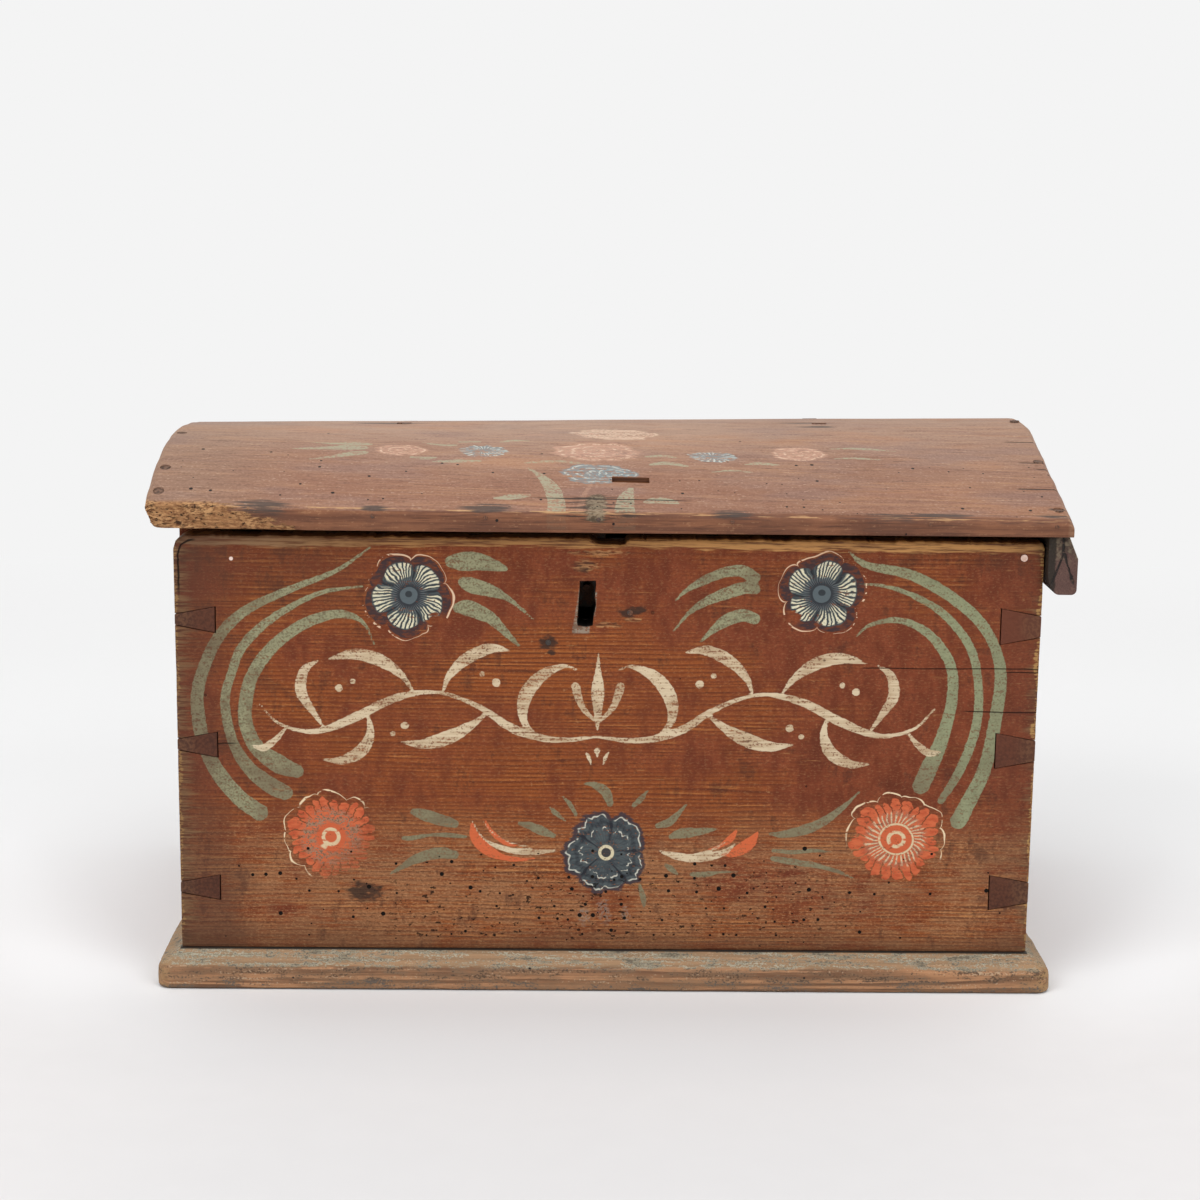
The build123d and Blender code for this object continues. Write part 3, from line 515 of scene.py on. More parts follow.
sage_lines = [
    [(-137, 261, 0.8), (-157, 247, 2.6), (-181, 237, 4), (-208, 224, 5.5), (-224, 209, 6.5),
     (-234, 189, 7), (-238, 172, 7.5), (-237, 156, 8), (-234, 142, 8), (-227, 127, 9),
     (-215, 112, 9.5), (-203, 103, 10)],
    [(-142, 238, 1), (-163, 235, 2.5), (-181, 227, 3.5), (-199, 215, 5), (-212, 201, 5.5),
     (-218, 186, 5), (-222, 169, 5.5), (-218, 146, 6), (-209, 130, 8), (-196, 119, 10),
     (-188, 115, 9)],
    [(-135, 203, 0.8), (-141, 216, 2), (-150, 221, 4), (-161, 221, 5.5), (-177, 215, 6.5),
     (-194, 202, 7), (-206, 185, 7.5), (-210, 169, 8), (-210, 156, 8), (-204, 142, 9),
     (-191, 132, 11), (-181, 128, 8)],
    [(137, 261, 1), (148, 253, 4), (172, 248, 6), (194, 237, 6.5), (213, 222, 6.5),
     (224, 205, 6), (228, 187, 7), (226, 162, 7.5), (221, 133, 8), (213, 114, 9), (207, 101, 10)],
    [(143, 242, 0.8), (158, 241, 2), (174, 236, 3), (193, 225, 4.5), (209, 206, 5), (215, 184, 5),
     (215, 159, 5.5), (207, 133, 5.5), (196, 113, 4)],
    [(143, 211, 0.8), (151, 218, 2), (166, 221, 3.5), (179, 217, 4.5), (190, 208, 5.5),
     (199, 193, 6), (200, 173, 6.5), (195, 150, 8), (188, 132, 10), (184, 122, 10)],
    [(-91, 253, 7), (-84, 253, 11), (-75, 253, 10), (-65, 250.5, 6), (-60, 249, 3)],
    [(-84, 241, 6), (-79, 239, 9), (-71, 237, 8), (-63, 234, 5), (-56, 230, 2.6), (-43, 219, 0.8)],
    [(-87, 226, 6), (-82, 226, 9), (-74, 223, 8.5), (-67, 219, 6.5), (-59, 211, 4),
     (-52, 204, 1.6)],
    [(38, 231, 0.8), (44, 237, 2.4), (54, 243, 5), (66, 248, 6), (76, 249, 7), (83, 245, 7.5)],
    [(37, 213, 0.8), (46, 224, 2.4), (56, 231, 5), (68, 236, 7), (78, 239, 7), (84, 238.5, 6)],
    [(53, 207, 0.8), (60, 214, 4), (68, 220, 7), (77, 223, 7.5), (84, 221, 6.5)],
    [(-113, 104, 4), (-106, 102, 7), (-97, 99, 7), (-89, 97, 5)],
    [(-119, 88, 2.4), (-114, 88, 3), (-103, 90, 2), (-93, 90, 3), (-82, 89, 1.4)],
    [(-127, 66, 1), (-119, 71, 3.4), (-110, 76, 6), (-98, 79, 7), (-89, 78, 5)],
    [(-51, 97.5, 2), (-45, 96, 4.5), (-38, 93, 5.5), (-31, 90, 3)],
    [(-13, 122, 1.4), (-7, 121, 4), (-1, 117, 6), (2, 110, 4)],
    [(-26, 114, 1), (-22, 110, 2.6), (-18, 103, 2.2)],
    [(-34, 108, 1), (-30, 104, 2.8), (-24, 99, 1)],
    [(16, 109, 3), (20, 113, 3.4), (24, 118, 0.8)],
    [(30, 96.5, 3), (37, 99, 5), (42, 104, 3), (47, 110, 0.8)],
    [(38, 90, 3), (44, 92, 6), (53, 93, 5), (66, 95, 1)],
    [(96, 92, 1.4), (104, 92, 4.4), (117, 95, 6), (129, 101, 5), (139, 109, 3), (148, 118, 0.8)],
    [(98, 82, 2), (110, 81, 2.6), (121, 82, 2.4), (133, 82, 1)],
    [(98, 77, 3), (110, 75, 4), (124, 73, 3), (138, 69, 2), (147, 65, 0.8)],
    [(51, 67, 3), (58, 67, 3.6), (68, 68.5, 1.6), (80, 69, 0.8)],
    [(35, 73, 1.6), (38, 70.5, 3.6), (42, 67, 1.6)],
    [(20, 60, 2), (22, 53, 3.4), (23, 47, 1.6)],
]
vine_half = [
    [(-6, 150, 1.4), (18, 148, 3.4), (42, 154, 5), (64, 168, 3), (88, 176, 2), (112, 172, 4.4),
     (136, 160, 5.4), (158, 152, 3), (178, 156, 1.6), (190, 168, 1)],
    [(30, 151, 1), (37, 160, 4.5), (36, 174, 8), (27, 186, 7), (14, 192, 2.4), (6, 190, 0.8)],
    [(58, 164, 1), (68, 156, 5), (81, 149, 8.5), (95, 145, 6), (108, 146, 0.8)],
    [(84, 176, 1), (80, 186, 4), (70, 196, 7), (57, 202, 6), (45, 201, 0.8)],
    [(100, 175, 0.8), (108, 186, 4), (121, 195, 7.5), (136, 198, 6), (150, 195, 0.8)],
    [(128, 164, 0.8), (126, 152, 4.5), (131, 141, 7.5), (142, 135, 5), (154, 135, 0.8)],
    [(152, 153, 0.8), (160, 165, 4), (166, 176, 6.5), (164, 188, 5), (156, 194, 0.8)],
    [(174, 155, 0.8), (181, 147, 3.4), (188, 142, 4.4), (195, 143, 0.8)],
    [(-6, 158, 1), (3, 168, 3.6), (7, 180, 5), (6, 176, 1)],
]
berries = ((53, 182, 5), (61, 187, 3.4), (106, 156, 4.6), (113, 151, 3.2), (144, 178, 4.4),
           (136, 182, 3.2))
vine_half += [[(x, z, wide), (x + 0.1, z, wide)] for x, z, wide in berries]
cream_lines = vine_half + mirrored(vine_half, -6) + [
    [(-6, 154, 1), (-6, 166, 5), (-6, 178, 7.5), (-6, 190, 3), (-6, 200, 0.8)],
    [(-6, 142, 3.4), (-6, 138, 0.8)],
    [(-13, 141, 0.6), (-11, 138, 2), (-9, 132, 0.6)],
    [(1, 141, 0.6), (-1, 138, 2), (-3, 132, 0.6)],
    [(-79, 99, 0.6), (-72, 88, 1.4), (-60, 82, 3), (-45, 80, 3.6), (-30, 81, 1.4)],
    [(-74, 101, 0.4), (-67, 92, 0.8), (-57, 86, 1), (-44, 83, 0.9)],
    [(31, 81.5, 0.8), (40, 78.5, 4), (50, 77, 5), (61, 78, 5), (70, 81, 3.5), (76, 86, 1)],
    [(52, 79.5, 0.8), (62, 82, 1.6), (70, 87, 1)],
]
coral_lines = [
    [(-79, 98, 0.8), (-77.5, 90, 5.5), (-72, 83, 7), (-63, 77.5, 4.5), (-52, 75.5, 2.5),
     (-42, 76, 0.8)],
    [(-72, 100, 0.8), (-67, 92, 2.4), (-60, 86, 2.6), (-50, 83, 0.8)],
    [(68, 79, 1), (76, 81, 6), (84, 86, 7), (89, 93, 1)],
    [(58, 82, 0.6), (66, 84, 2), (73, 89, 4), (77, 95, 0.8)],
]
for paint, lines in (("sage", sage_lines), ("cream", cream_lines), ("coral", coral_lines)):
    keep_strokes(front, paint, lines, (0, 2))


def strokes(place, name, frayed):
    """Mask of one paint's strokes, its edge frayed by a fine noise."""
    depth = place.node("Attribute", {"attribute_name": name}, {}, 2)
    return (depth + frayed.sway(0.0016)).step(-0.00025, 0.00025)


def petal_curve(angle, petals, sharpness):
    """1 along the middle of each petal, falling to 0 between two."""
    return abs((angle * (petals / 2)).cosine()) ** sharpness


def polar(across, up, centre, squash=1.0, bend=None):
    """Distance from a flower's centre, in metres, and the angle round it. bend is a slow
    noise that pulls the petals out of true."""
    a, b = across - centre[0], (up - centre[1]) / squash
    r, angle = (a * a + b * b) ** 0.5, b.math("ARCTAN2", a)
    if bend is not None:
        r, angle = r * (bend * 0.3 + 0.85), angle + bend.sway(0.6)
    return r, angle


def anemone(coats, spot, frayed, size, turn, whole):
    """A five-petalled flower: dark outer petals in a pale broken line, slate inner petals
    with cream hairs, and a grey eye. size is its radius; whole masks what has held."""
    r, angle = spot
    share = r / size
    lobe = petal_curve(angle + turn, 5, 0.4)
    edge = lobe * 0.2 + 0.76
    outer = (edge - share + frayed.sway(0.05)).step(-0.01, 0.01) * whole
    umber = frayed.step(0.46, 0.6).blend((50, 42, 46), (94, 52, 38))
    coats.lay(outer * 0.88, umber)
    thick = (angle * 3.0 + turn * 9).sine() * 0.008 + 0.013
    line = (abs(share - edge - 0.045) - thick).step(0.006, -0.008)
    broken = ((angle + turn * 5).sine() * 0.18 + frayed).step(0.38, 0.42)
    coats.lay(line * broken * whole.step(0.0, 0.2) * 0.92, (224, 192, 160))
    second = petal_curve(angle + turn + 0.22, 5, 0.5)
    inner = (second * 0.22 + 0.58 + frayed.sway(0.08) - share).step(-0.01, 0.01) * whole
    coats.lay(inner, (72, 80, 82))
    comb = ((angle + frayed.sway(0.12) + share * 0.2) * 47.0).sine()
    wedge = (comb + share * 2.4 - 1.25).step(-0.1, 0.5)
    hairs = wedge * (share + frayed.sway(0.5)).step(0.36, 0.44)
    hairs = hairs * (second * 0.19 + 0.59 - share).step(-0.01, 0.02) * second.step(0.48, 0.68)
    cream = frayed.step(0.4, 0.6).blend((200, 196, 172), (224, 216, 184))
    coats.lay(hairs * whole, cream)
    folds = second.step(0.44, 0.26) * share.step(0.25, 0.4) + comb.step(-0.2, -0.8) * 0.6
    coats.lay(folds * inner * (1 - hairs) * 0.8, (36, 38, 42))
    coats.lay(share.step(0.4, 0.24) * inner * 0.8, (40, 42, 48))
    grey = comb.step(0.3, 0.9) * share.step(0.44, 0.36) * share.step(0.22, 0.3)
    coats.lay(grey * inner * 0.6, (112, 116, 118))
    eye = (share + frayed.sway(0.03)).step(0.205, 0.19)
    coats.lay(eye, (86, 96, 100))
    pupil = (share + angle.sine() * -0.03).step(0.085, 0.065)
    coats.lay(pupil * 0.9, (42, 46, 50))
    return outer


def marigold(coats, spot, frayed, specks, size, turn, whole, ragged):
    """A ragged flower of many narrow petals: a speckled grey ring inside them, a cream
    ring in the middle, and a scalloped cream line over its outer edge on one side."""
    r, angle = spot
    share = r / size
    teeth = abs(((angle + frayed.sway(0.2)) * 12.0 + turn).sine())
    uneven = (angle * 7.0 + turn * 3).sine() * 0.05 + (angle * 3.0).sine() * 0.04
    edge = teeth ** 0.6 * 0.16 + 0.76 + uneven
    gaps = teeth.step(0.16, 0.3).most(share.step(0.66, 0.56))
    petals = (edge - share).step(-0.01, 0.015) * whole * gaps
    coral = frayed.step(0.35, 0.65).blend((200, 102, 64), (180, 82, 50))
    coats.lay(petals, coral)
    veins = ((angle + share * 0.5) * 34.0).sine().step(0.15, 0.6) * ragged
    veins = veins * (share + frayed.sway(0.3)).step(0.66, 0.56) * share.step(0.36, 0.4)
    coats.lay(veins * petals, (208, 182, 148))
    grey = abs(share - 0.5).step(0.24, 0.08) * frayed.mixed(specks).step(0.46, 0.53)
    coats.lay(grey * petals * (0.85 - ragged * 0.55), (150, 128, 104))
    flecks = grey * specks.step(0.54, 0.6) * (1 - ragged * 0.6)
    coats.lay(flecks * petals * 0.8, (88, 76, 60))
    core = share.step(0.33, 0.31)
    coats.lay(core * whole, (194, 94, 58))
    rim = abs(share - 0.33 - ragged * 0.02).step(0.03, 0.012) * ragged
    hoop = abs(share - 0.165).step(0.05, 0.03) * (abs(angle + 2.2)).step(0.1, 0.3)
    tail = abs(angle + 2.2).step(0.3, 0.14) * share.step(0.1, 0.14) * share.step(0.34, 0.28)
    cream = (hoop + tail * (1 - ragged) + rim).capped() * frayed.step(0.34, 0.46)
    coats.lay(cream * whole * 0.92, (212, 194, 156))
    scallop = abs((angle * 5.5 + turn).sine()) ** 0.6 * 0.085 + 0.955 + uneven * 0.5
    facing = ((angle - turn).cosine() + frayed.sway(0.8)).step(-0.35, 0.0)
    thick = (angle * 9.0).sine() * 0.007 + 0.012
    line = (abs(share - scallop) - thick).step(0.006, -0.008) * frayed.step(0.36, 0.44)
    coats.lay(line * facing * whole.step(0.0, 0.2), (226, 202, 166))
    return petals


def rose(coats, spot, frayed, size, turn, whole):
    """A dark slate rose: five rounded petals, each with two pale wavy lines near its edge,
    dark folds between them, and a cream ring in the middle."""
    r, angle = spot
    share = r / size
    lobe = petal_curve(angle + turn, 5, 0.45)
    wavy = (angle * 13.0).sine() * 0.022 + (angle * 29.0).sine() * 0.012
    edge = lobe * 0.14 + 0.86 + wavy + frayed.sway(0.22)
    dark = (edge - share).step(-0.03, 0.03) * whole
    coats.lay(dark * 0.9, (52, 48, 56))
    petals = (edge - 0.09 - share).step(-0.02, 0.03) * whole
    slate = frayed.step(0.4, 0.62).blend((76, 84, 86), (60, 66, 70))
    coats.lay(petals, slate)
    hairs = ((angle + frayed.sway(0.14)) * 44.0).sine().step(0.2, 0.9)
    folds = lobe.step(0.52, 0.2) * share.step(0.18, 0.28) + hairs * 0.3
    under = abs(share - 0.66 - lobe * 0.04 - wavy).step(0.07, 0.02) * 0.6
    coats.lay((folds + under) * petals * 0.85, (36, 38, 44))
    for place_out, thick, least in ((0.74, 0.016, 0.4), (0.45, 0.014, 0.5)):
        crest = (abs(share - lobe * 0.15 - place_out - wavy * 1.5) - thick).step(0.012, -0.01)
        some = frayed.step(least - 0.04, least + 0.03) * lobe.step(0.42, 0.62)
        coats.lay(crest * some * petals, (198, 196, 182))
    ring = abs(share - 0.155).step(0.045, 0.028)
    coats.lay(share.step(0.15, 0.13) * whole, (58, 56, 58))
    coats.lay(ring * whole, (208, 196, 164))
    return dark


def pine_colour(late, fibre, early_wood, late_wood, rings=0.6, fibres=0.6):
    """Bare pine's colour, from early to late wood, by its rings and its fibres."""
    return (late * rings + fibre * fibres).step(0.2, 1.0).blend(early_wood, late_wood)


def blots(across, up, marks, low, high, *frayed):
    """Mask of oval marks, each (place, place, half width, half height). An oval's value is 0
    in its middle and 1 at its edge, frayed by noises; the mark fades from high to low."""
    spots = []
    for mark_x, mark_y, wide, tall in marks:
        oval = ((across - mark_x) / wide) ** 2 + ((up - mark_y) / tall) ** 2
        for noise in frayed:
            oval = oval + noise
        spots.append(oval.step(low, high))
    return spots[0].most(*spots[1:])


material, place = new_material("painted_front_pine")
x, y, z = place.parts()
late, fibre = pine(place, "x", (-0.02, -0.42), 0.0025, seed=4.0)
cloud = place.noise((9, 40, 26), 4.0, 1.0)
patch = place.noise((34, 60, 50), 5.0, 17.0, 0.6)
smudge = place.noise((130, 60, 60), 4.0, 37.0, 0.6)
fine = place.noise((800, 800, 900), 3.0, 7.0)
streak = place.noise((14, 500, 420), 4.0, 9.0, 0.6)
dash = place.noise((60, 900, 900), 3.0, 19.0, 0.6)
edges = place.noise((160, 420, 420), 3.0, 12.0)
slow = place.noise(55, 2.0, 14.0)
# Red-brown paint, rubbed thin to orange wood at the left, in the middle and at the foot
middle = (x + 0.07) / 0.2
ring_zone = ((middle * middle) + ((z - 0.19) / 0.11) ** 2 * 0.25).step(1.1, 0.0)
foot_zone = z.step(0.115, 0.075)
sound = x.step(0.03, 0.12) * z.step(0.09, 0.12)
rubbed = ring_zone * 0.3 + foot_zone * 0.38 - sound * 0.16 + cloud.sway(2.0) + 0.26
rubbed = (rubbed + smudge.sway(1.1) + patch.sway(1.6)).step(0.0, 1.0)
coats = Coats(smudge.step(0.36, 0.64).blend((104, 48, 26), (126, 62, 36)))
coats.lay(patch.step(0.52, 0.66) * 0.45, (84, 38, 22))
wood = pine_colour(late, fibre, (148, 80, 34), (118, 59, 26), 0.7, 0.5)
coats.lay(rubbed * 0.85, wood)
uneven = place.noise((7, 170, 170), 3.0, 51.0).step(0.4, 0.6)
tan = foot_zone * patch.mixed(dash).step(0.38, 0.58)
coats.lay(tan * 0.55, (156, 116, 82))
furrow = late.step(0.66, 0.94) * dash.step(0.34, 0.56) * (rubbed * 0.5 + 0.12)
furrow = furrow * (uneven * 0.8 + 0.4)
coats.lay(furrow, (84, 42, 22))
ridge = late.step(0.3, 0.08) * dash.step(0.5, 0.62) * (rubbed * 0.5 + 0.05) * uneven
coats.lay(ridge, (192, 126, 68))
ticks = dash.step(0.66, 0.72) * patch.step(0.42, 0.55)
coats.lay(ticks * 0.5, (180, 128, 80))
nicks = place.noise((260, 600, 340), 3.0, 41.0).step(0.7, 0.74) * cloud.step(0.4, 0.6)
coats.lay(nicks * 0.45, (176, 128, 84))
specks = place.noise((480, 1100, 1100), 3.0, 61.0, 0.7)
coats.lay(specks.step(0.55, 0.62) * (foot_zone * 0.26 + 0.14), (54, 30, 18))
coats.lay(specks.step(0.45, 0.38) * (foot_zone * 0.2 + 0.14), (196, 150, 104))
soot = (patch * 0.5 + smudge * 0.5 + abs(x) * 0.15 + z * 0.1).step(0.585, 0.66)
coats.lay(soot * 0.4, (64, 34, 26))
grime = fine.mixed(smudge).step(0.545, 0.6)
coats.lay(grime * 0.3, (66, 34, 22))
upper_left = x.step(-0.12, -0.17) * (z + patch.sway(0.05)).step(0.205, 0.24)
coats.lay(upper_left * (smudge.step(0.4, 0.6) * 0.3 + 0.22), (80, 46, 30))
# Sage leaves, cream vine and coral feathers on the outer face, worn along the grain
face = (y + 0.14).step(0.0012, -0.0004)
chips = fine * 0.45 + dash * 0.3 + edges * 0.25
held = chips.step(0.585, 0.535)
green = Coats(edges.mixed(fine, 0.6).step(0.42, 0.6).blend((146, 144, 112), (118, 114, 88)))
green.lay(patch.mixed(slow).step(0.5, 0.6) * 0.45, (104, 88, 66))
green.lay(x.step(0.14, 0.2) * 0.5, (136, 146, 112))
tips = (z + slow.sway(0.04)).step(0.15, 0.122) * abs(x).step(0.21, 0.202)
green.lay(tips * 0.55, (112, 98, 76))
sage = strokes(place, "sage", edges) * (held * 0.46 + 0.52) * face
coats.lay(sage, green.colour)
kept = (chips + slow.sway(0.14) - sound * 0.02).step(0.575, 0.515)
cream = strokes(place, "cream", edges) * (kept * 0.72 + 0.24) * face
paste = slow.mixed(dash).step(0.4, 0.6).blend((216, 198, 166), (184, 160, 128))
coral = strokes(place, "coral", edges) * (held * 0.5 + 0.5) * face
coats.lay(coral * 0.96, (204, 100, 60))
coats.lay(cream * 0.95, paste)
# Flowers by brush, each a little out of true
held = ((chips + slow.sway(0.1)).step(0.6, 0.555) * 0.8 + 0.2) * face
bitten = ((x + 0.098) ** 2 + (z - 0.2165) ** 2) ** 0.5 + edges.sway(0.014)
scraped = ((x - 0.1055) ** 2 + (z - 0.2215) ** 2) ** 0.5 + edges.sway(0.012)
faded = (x + 0.1615 - (z - 0.088) * 1.2 + edges.sway(0.02)).step(0.034, 0.002)
lines_off = 1 - (1 - faded) * late.step(0.6, 0.3) * 0.9
flowers = [
    anemone(coats, polar(x, z, (-0.1155, 0.233), 1.0, slow), edges, 0.0258, 0.3,
            held * bitten.step(0.005, 0.008)),
    anemone(coats, polar(x, z, (0.1225, 0.236), 0.97, slow), edges, 0.0258, 0.95,
            held * scraped.step(0.004, 0.006)),
    marigold(coats, polar(x, z, (-0.1615, 0.0885), 1.0, slow), edges, fine, 0.0268, 2.5,
             held * lines_off * (faded * 0.45 + 0.55), 0.0),
    marigold(coats, polar(x, z, (0.1705, 0.0895), 0.95, slow), edges, fine, 0.0282, 1.3, held, 1.0),
    rose(coats, polar(x, z, (0.0, 0.08), 1.0, slow), edges, 0.025, 0.5, held),
]
# Bare upper edge, ends darkened and worn, stains, cracks and beetle holes
top = (z + dash.sway(0.006) + cloud.sway(0.006)).step(0.2606, 0.2624)
raw_top = dash.mixed(fibre, 0.4).step(0.38, 0.56) * (x.step(-0.1, 0.12) * 0.35 + 0.65)
straw = x.step(-0.22, -0.1).blend((152, 122, 90), (200, 148, 90))
coats.lay(top * 0.92, raw_top.blend((104, 68, 44), straw))
low_left = x.step(-0.17, -0.24) * z.step(0.12, 0.04)
shade = (abs(x) + patch.sway(0.04) + low_left * 0.02).step(0.206, 0.242)
coats.lay(shade * (low_left * 0.2 + x.step(0.0, -0.1) * 0.22 + 0.26), (78, 48, 36))
end = abs(x) + streak.sway(0.03) + dash.sway(0.016) - x.step(0.0, 0.1) * 0.004
end = end.step(0.239, 0.2505)
worn_end = dash.step(0.42, 0.58).blend((70, 48, 34), (118, 92, 64))
coats.lay(end * 0.66, worn_end)
rind = (abs(x) + slow.sway(0.008) + dash.sway(0.006)).step(0.2484, 0.2492)
pale_right = x.step(0.0, 0.1) * 0.45 + 0.4
coats.lay(rind * dash.step(0.44, 0.54) * pale_right, (170, 132, 80))
# The left corner's outer strip has split off along a dark curve round the board's corner
out_x, out_z = (-0.2385 - x).most(0.0), (z - 0.2555).most(0.0)
round_corner = (out_x * out_x + out_z * out_z) ** 0.5
gap = abs(round_corner - 0.0088 + edges.sway(0.0012)).step(0.0008, 0.0002)
gap = gap * x.step(-0.236, -0.24) * z.step(0.228, 0.24)
inside = (y + 0.14).step(0.0004, 0.0016)
bare = pine_colour(late, fibre, (150, 110, 70), (110, 74, 46))
bare = (patch.step(0.45, 0.62) * 0.35).blend(bare, (92, 62, 42))
coats.lay(inside, bare)
side_face = abs(x).step(0.2494, 0.2498) * (y + 0.1405).step(-0.001, 0.001)
end_grain = fine.mixed(smudge).step(0.42, 0.58).blend((82, 40, 26), (122, 66, 38))
coats.lay(side_face * 0.9, end_grain)
foot = (z + cloud.sway(0.03)).step(0.04, 0.024)
coats.lay(foot * 0.45, (82, 54, 38))
marks = [(-0.142, 0.055, 0.0125, 0.007), (-0.0135, 0.2505, 0.006, 0.003),
         (0.012, 0.224, 0.0075, 0.004), (0.018, 0.226, 0.004, 0.0025),
         (-0.035, 0.206, 0.006, 0.005), (-0.033, 0.2005, 0.003, 0.002)]
stain = blots(x, z, marks, 1.1, 0.2, edges.sway(3.0))
coats.lay(stain * face * 0.85, (44, 34, 28))
smears = [(-0.001, 0.043, 0.0045, 0.0085), (-0.0125, 0.041, 0.0035, 0.006),
          (0.012, 0.042, 0.0025, 0.0055)]
smear = blots(x, z, smears, 1.2, 0.1, edges.sway(4.0))
coats.lay(smear * fine.step(0.42, 0.56) * face * 0.5, (142, 130, 118))
# Chips round the lock, down to the raw wood, and bruised lips round the keyhole
broken_out = [(-0.001, 0.2165, 0.0085, 0.0022), (-0.014, 0.251, 0.0085, 0.0045),
              (-0.006, 0.2588, 0.02, 0.0018), (0.014, 0.22, 0.006, 0.0016)]
chip = blots(x, z, broken_out, 1.0, 0.5, edges.sway(4.0))
raw = dash.mixed(edges).step(0.42, 0.58).blend((74, 44, 28), (184, 134, 88))
coats.lay(chip * face * edges.step(0.34, 0.46) * 0.75, raw)
left_of = -0.0176 + (z - 0.229) * 0.06 - x
beside = (left_of - (0.241 - z) * 0.09).step(0.0005, -0.0005)
beside = beside * z.step(0.2115, 0.2125) * z.step(0.24, 0.236)
right_of = x + 0.0088 - (z - 0.229) * 0.06
beyond = right_of.step(0.0016, 0.001) * abs(z - 0.229).step(0.008, 0.006)
lips = beside * left_of.step(-0.001, 0.0) + beyond * right_of.step(-0.001, 0.0)
below = z.step(0.216, 0.2152) * z.step(0.2112, 0.212)
lips = lips + below * left_of.step(0.003, 0.002) * right_of.step(-0.001, -0.002)
chipped = lips.capped() * dash.mixed(fine).step(0.4, 0.46) * face
coats.lay(chipped * 0.85, edges.step(0.42, 0.58).blend((112, 94, 78), (148, 136, 120)))
# Cracks that run in from the right end, and one from the left
cracks = []
for height, start, bent in ((0.1925, 0.145, 0.004), (0.1905, 0.228, 0.003), (0.166, 0.205, 0.006)):
    line = abs(z - height + cloud.sway(bent)).step(0.00045, 0.0001)
    cracks.append(line * x.step(start, start + 0.006))
cracks.append(abs(z - 0.1445 + slow.sway(0.004)).step(0.0006, 0.0001) * x.step(-0.212, -0.22))
crack = cracks[0].most(*cracks[1:])
foot_band = z.step(0.088, 0.066) * z.step(0.022, 0.03)
foot_band = foot_band * (abs(x - 0.005).step(0.2, 0.06) * 0.75 + 0.25)
eaten = beetle_holes(x, z, 120.0, foot_band * 0.62 + 0.012, 0.0013)
galleries = place.noise((230, 380, 400), 4.0, 31.0, 0.6).step(0.628, 0.64)
pits = galleries * foot_band.step(0.35, 0.8) * z.step(0.074, 0.058)
# Painted shade: the keyhole's inner walls are coloured near black
keyhole_shade = (y + 0.1408).step(-0.0008, 0.0008) * abs(x + 0.013).step(0.007, 0.0062)
keyhole_shade = keyhole_shade * abs(z - 0.229).step(0.016, 0.015)
dark = (crack * 0.85).most(eaten, pits * 0.85, gap * 0.9, keyhole_shade)
# The pale end of one more peg, at the upper left
peg_end = ((x + 0.217) ** 2 + (z - 0.2535) ** 2) ** 0.5
coats.lay(peg_end.step(0.0013, 0.0009), (232, 208, 196))
coats.lay(dark, (14, 8, 5))
painted = sum(flowers, sage + cream + coral).capped()
height = late * 0.07 + fibre * 0.22 + smudge * 0.2 + painted * 0.12 + (1 - dark) * 0.9
roughness = fibre * 0.16 + 0.56 - painted * 0.05 + dark * 0.3
finish_surface(material, coats.colour, roughness, height, 0.0005, 0.2)
front.data.materials.append(material)


# ------------------------------------------------- back board and end boards
# The other three walls are pine boards like the front. The end boards carry the
# pins, whose end grain shows at the front, and their tops fill the lid's dome.
def copy_of(node, ending, flat_angle=None):
    """A bare copy of a frame piece, its doubled corners merged. Where a flat angle is given,
    in degrees, its flat faces are made whole as well."""
    piece = bpy.data.objects.new(node + ending, frame["nodes"][node].data.copy())
    bpy.context.scene.collection.objects.link(piece)
    shell = bmesh.new()
    shell.from_mesh(piece.data)
    bmesh.ops.remove_doubles(shell, verts=shell.verts, dist=1e-6)
    if flat_angle:
        flat = np.radians(flat_angle)
        bmesh.ops.dissolve_limit(shell, angle_limit=flat, verts=shell.verts, edges=shell.edges)
    shell.to_mesh(piece.data)
    shell.free()
    piece.data.materials.clear()
    return piece


def eased_copy(node, width):
    """A copy of a frame piece with its sharp edges eased by a small bevel, in its place."""
    piece = copy_of(node, "_eased", flat_angle=0.5)
    smooth_faces(piece)
    bevel = piece.modifiers.new("eased", "BEVEL")
    bevel.width = width
    bevel.segments = 2
    bevel.limit_method = "ANGLE"
    bevel.angle_limit = sharp_angle
    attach(piece, body_of[node])
    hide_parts(node)
    return piece


# The body that each piece belongs to
body_of = {
    node: body
    for body, nodes in frame["record"]["behaviour"]["bodies"].items()
    for node in nodes
}
# The end boards' upper edge follows the hollow of the lid: its radius and middle
end_crown_r = 0.2283
end_crown_z = 0.0772
back = eased_copy("back_board", 0.0008)
left_end = eased_copy("left_side_board", 0.0006)
right_end = eased_copy("right_side_board", 0.0006)


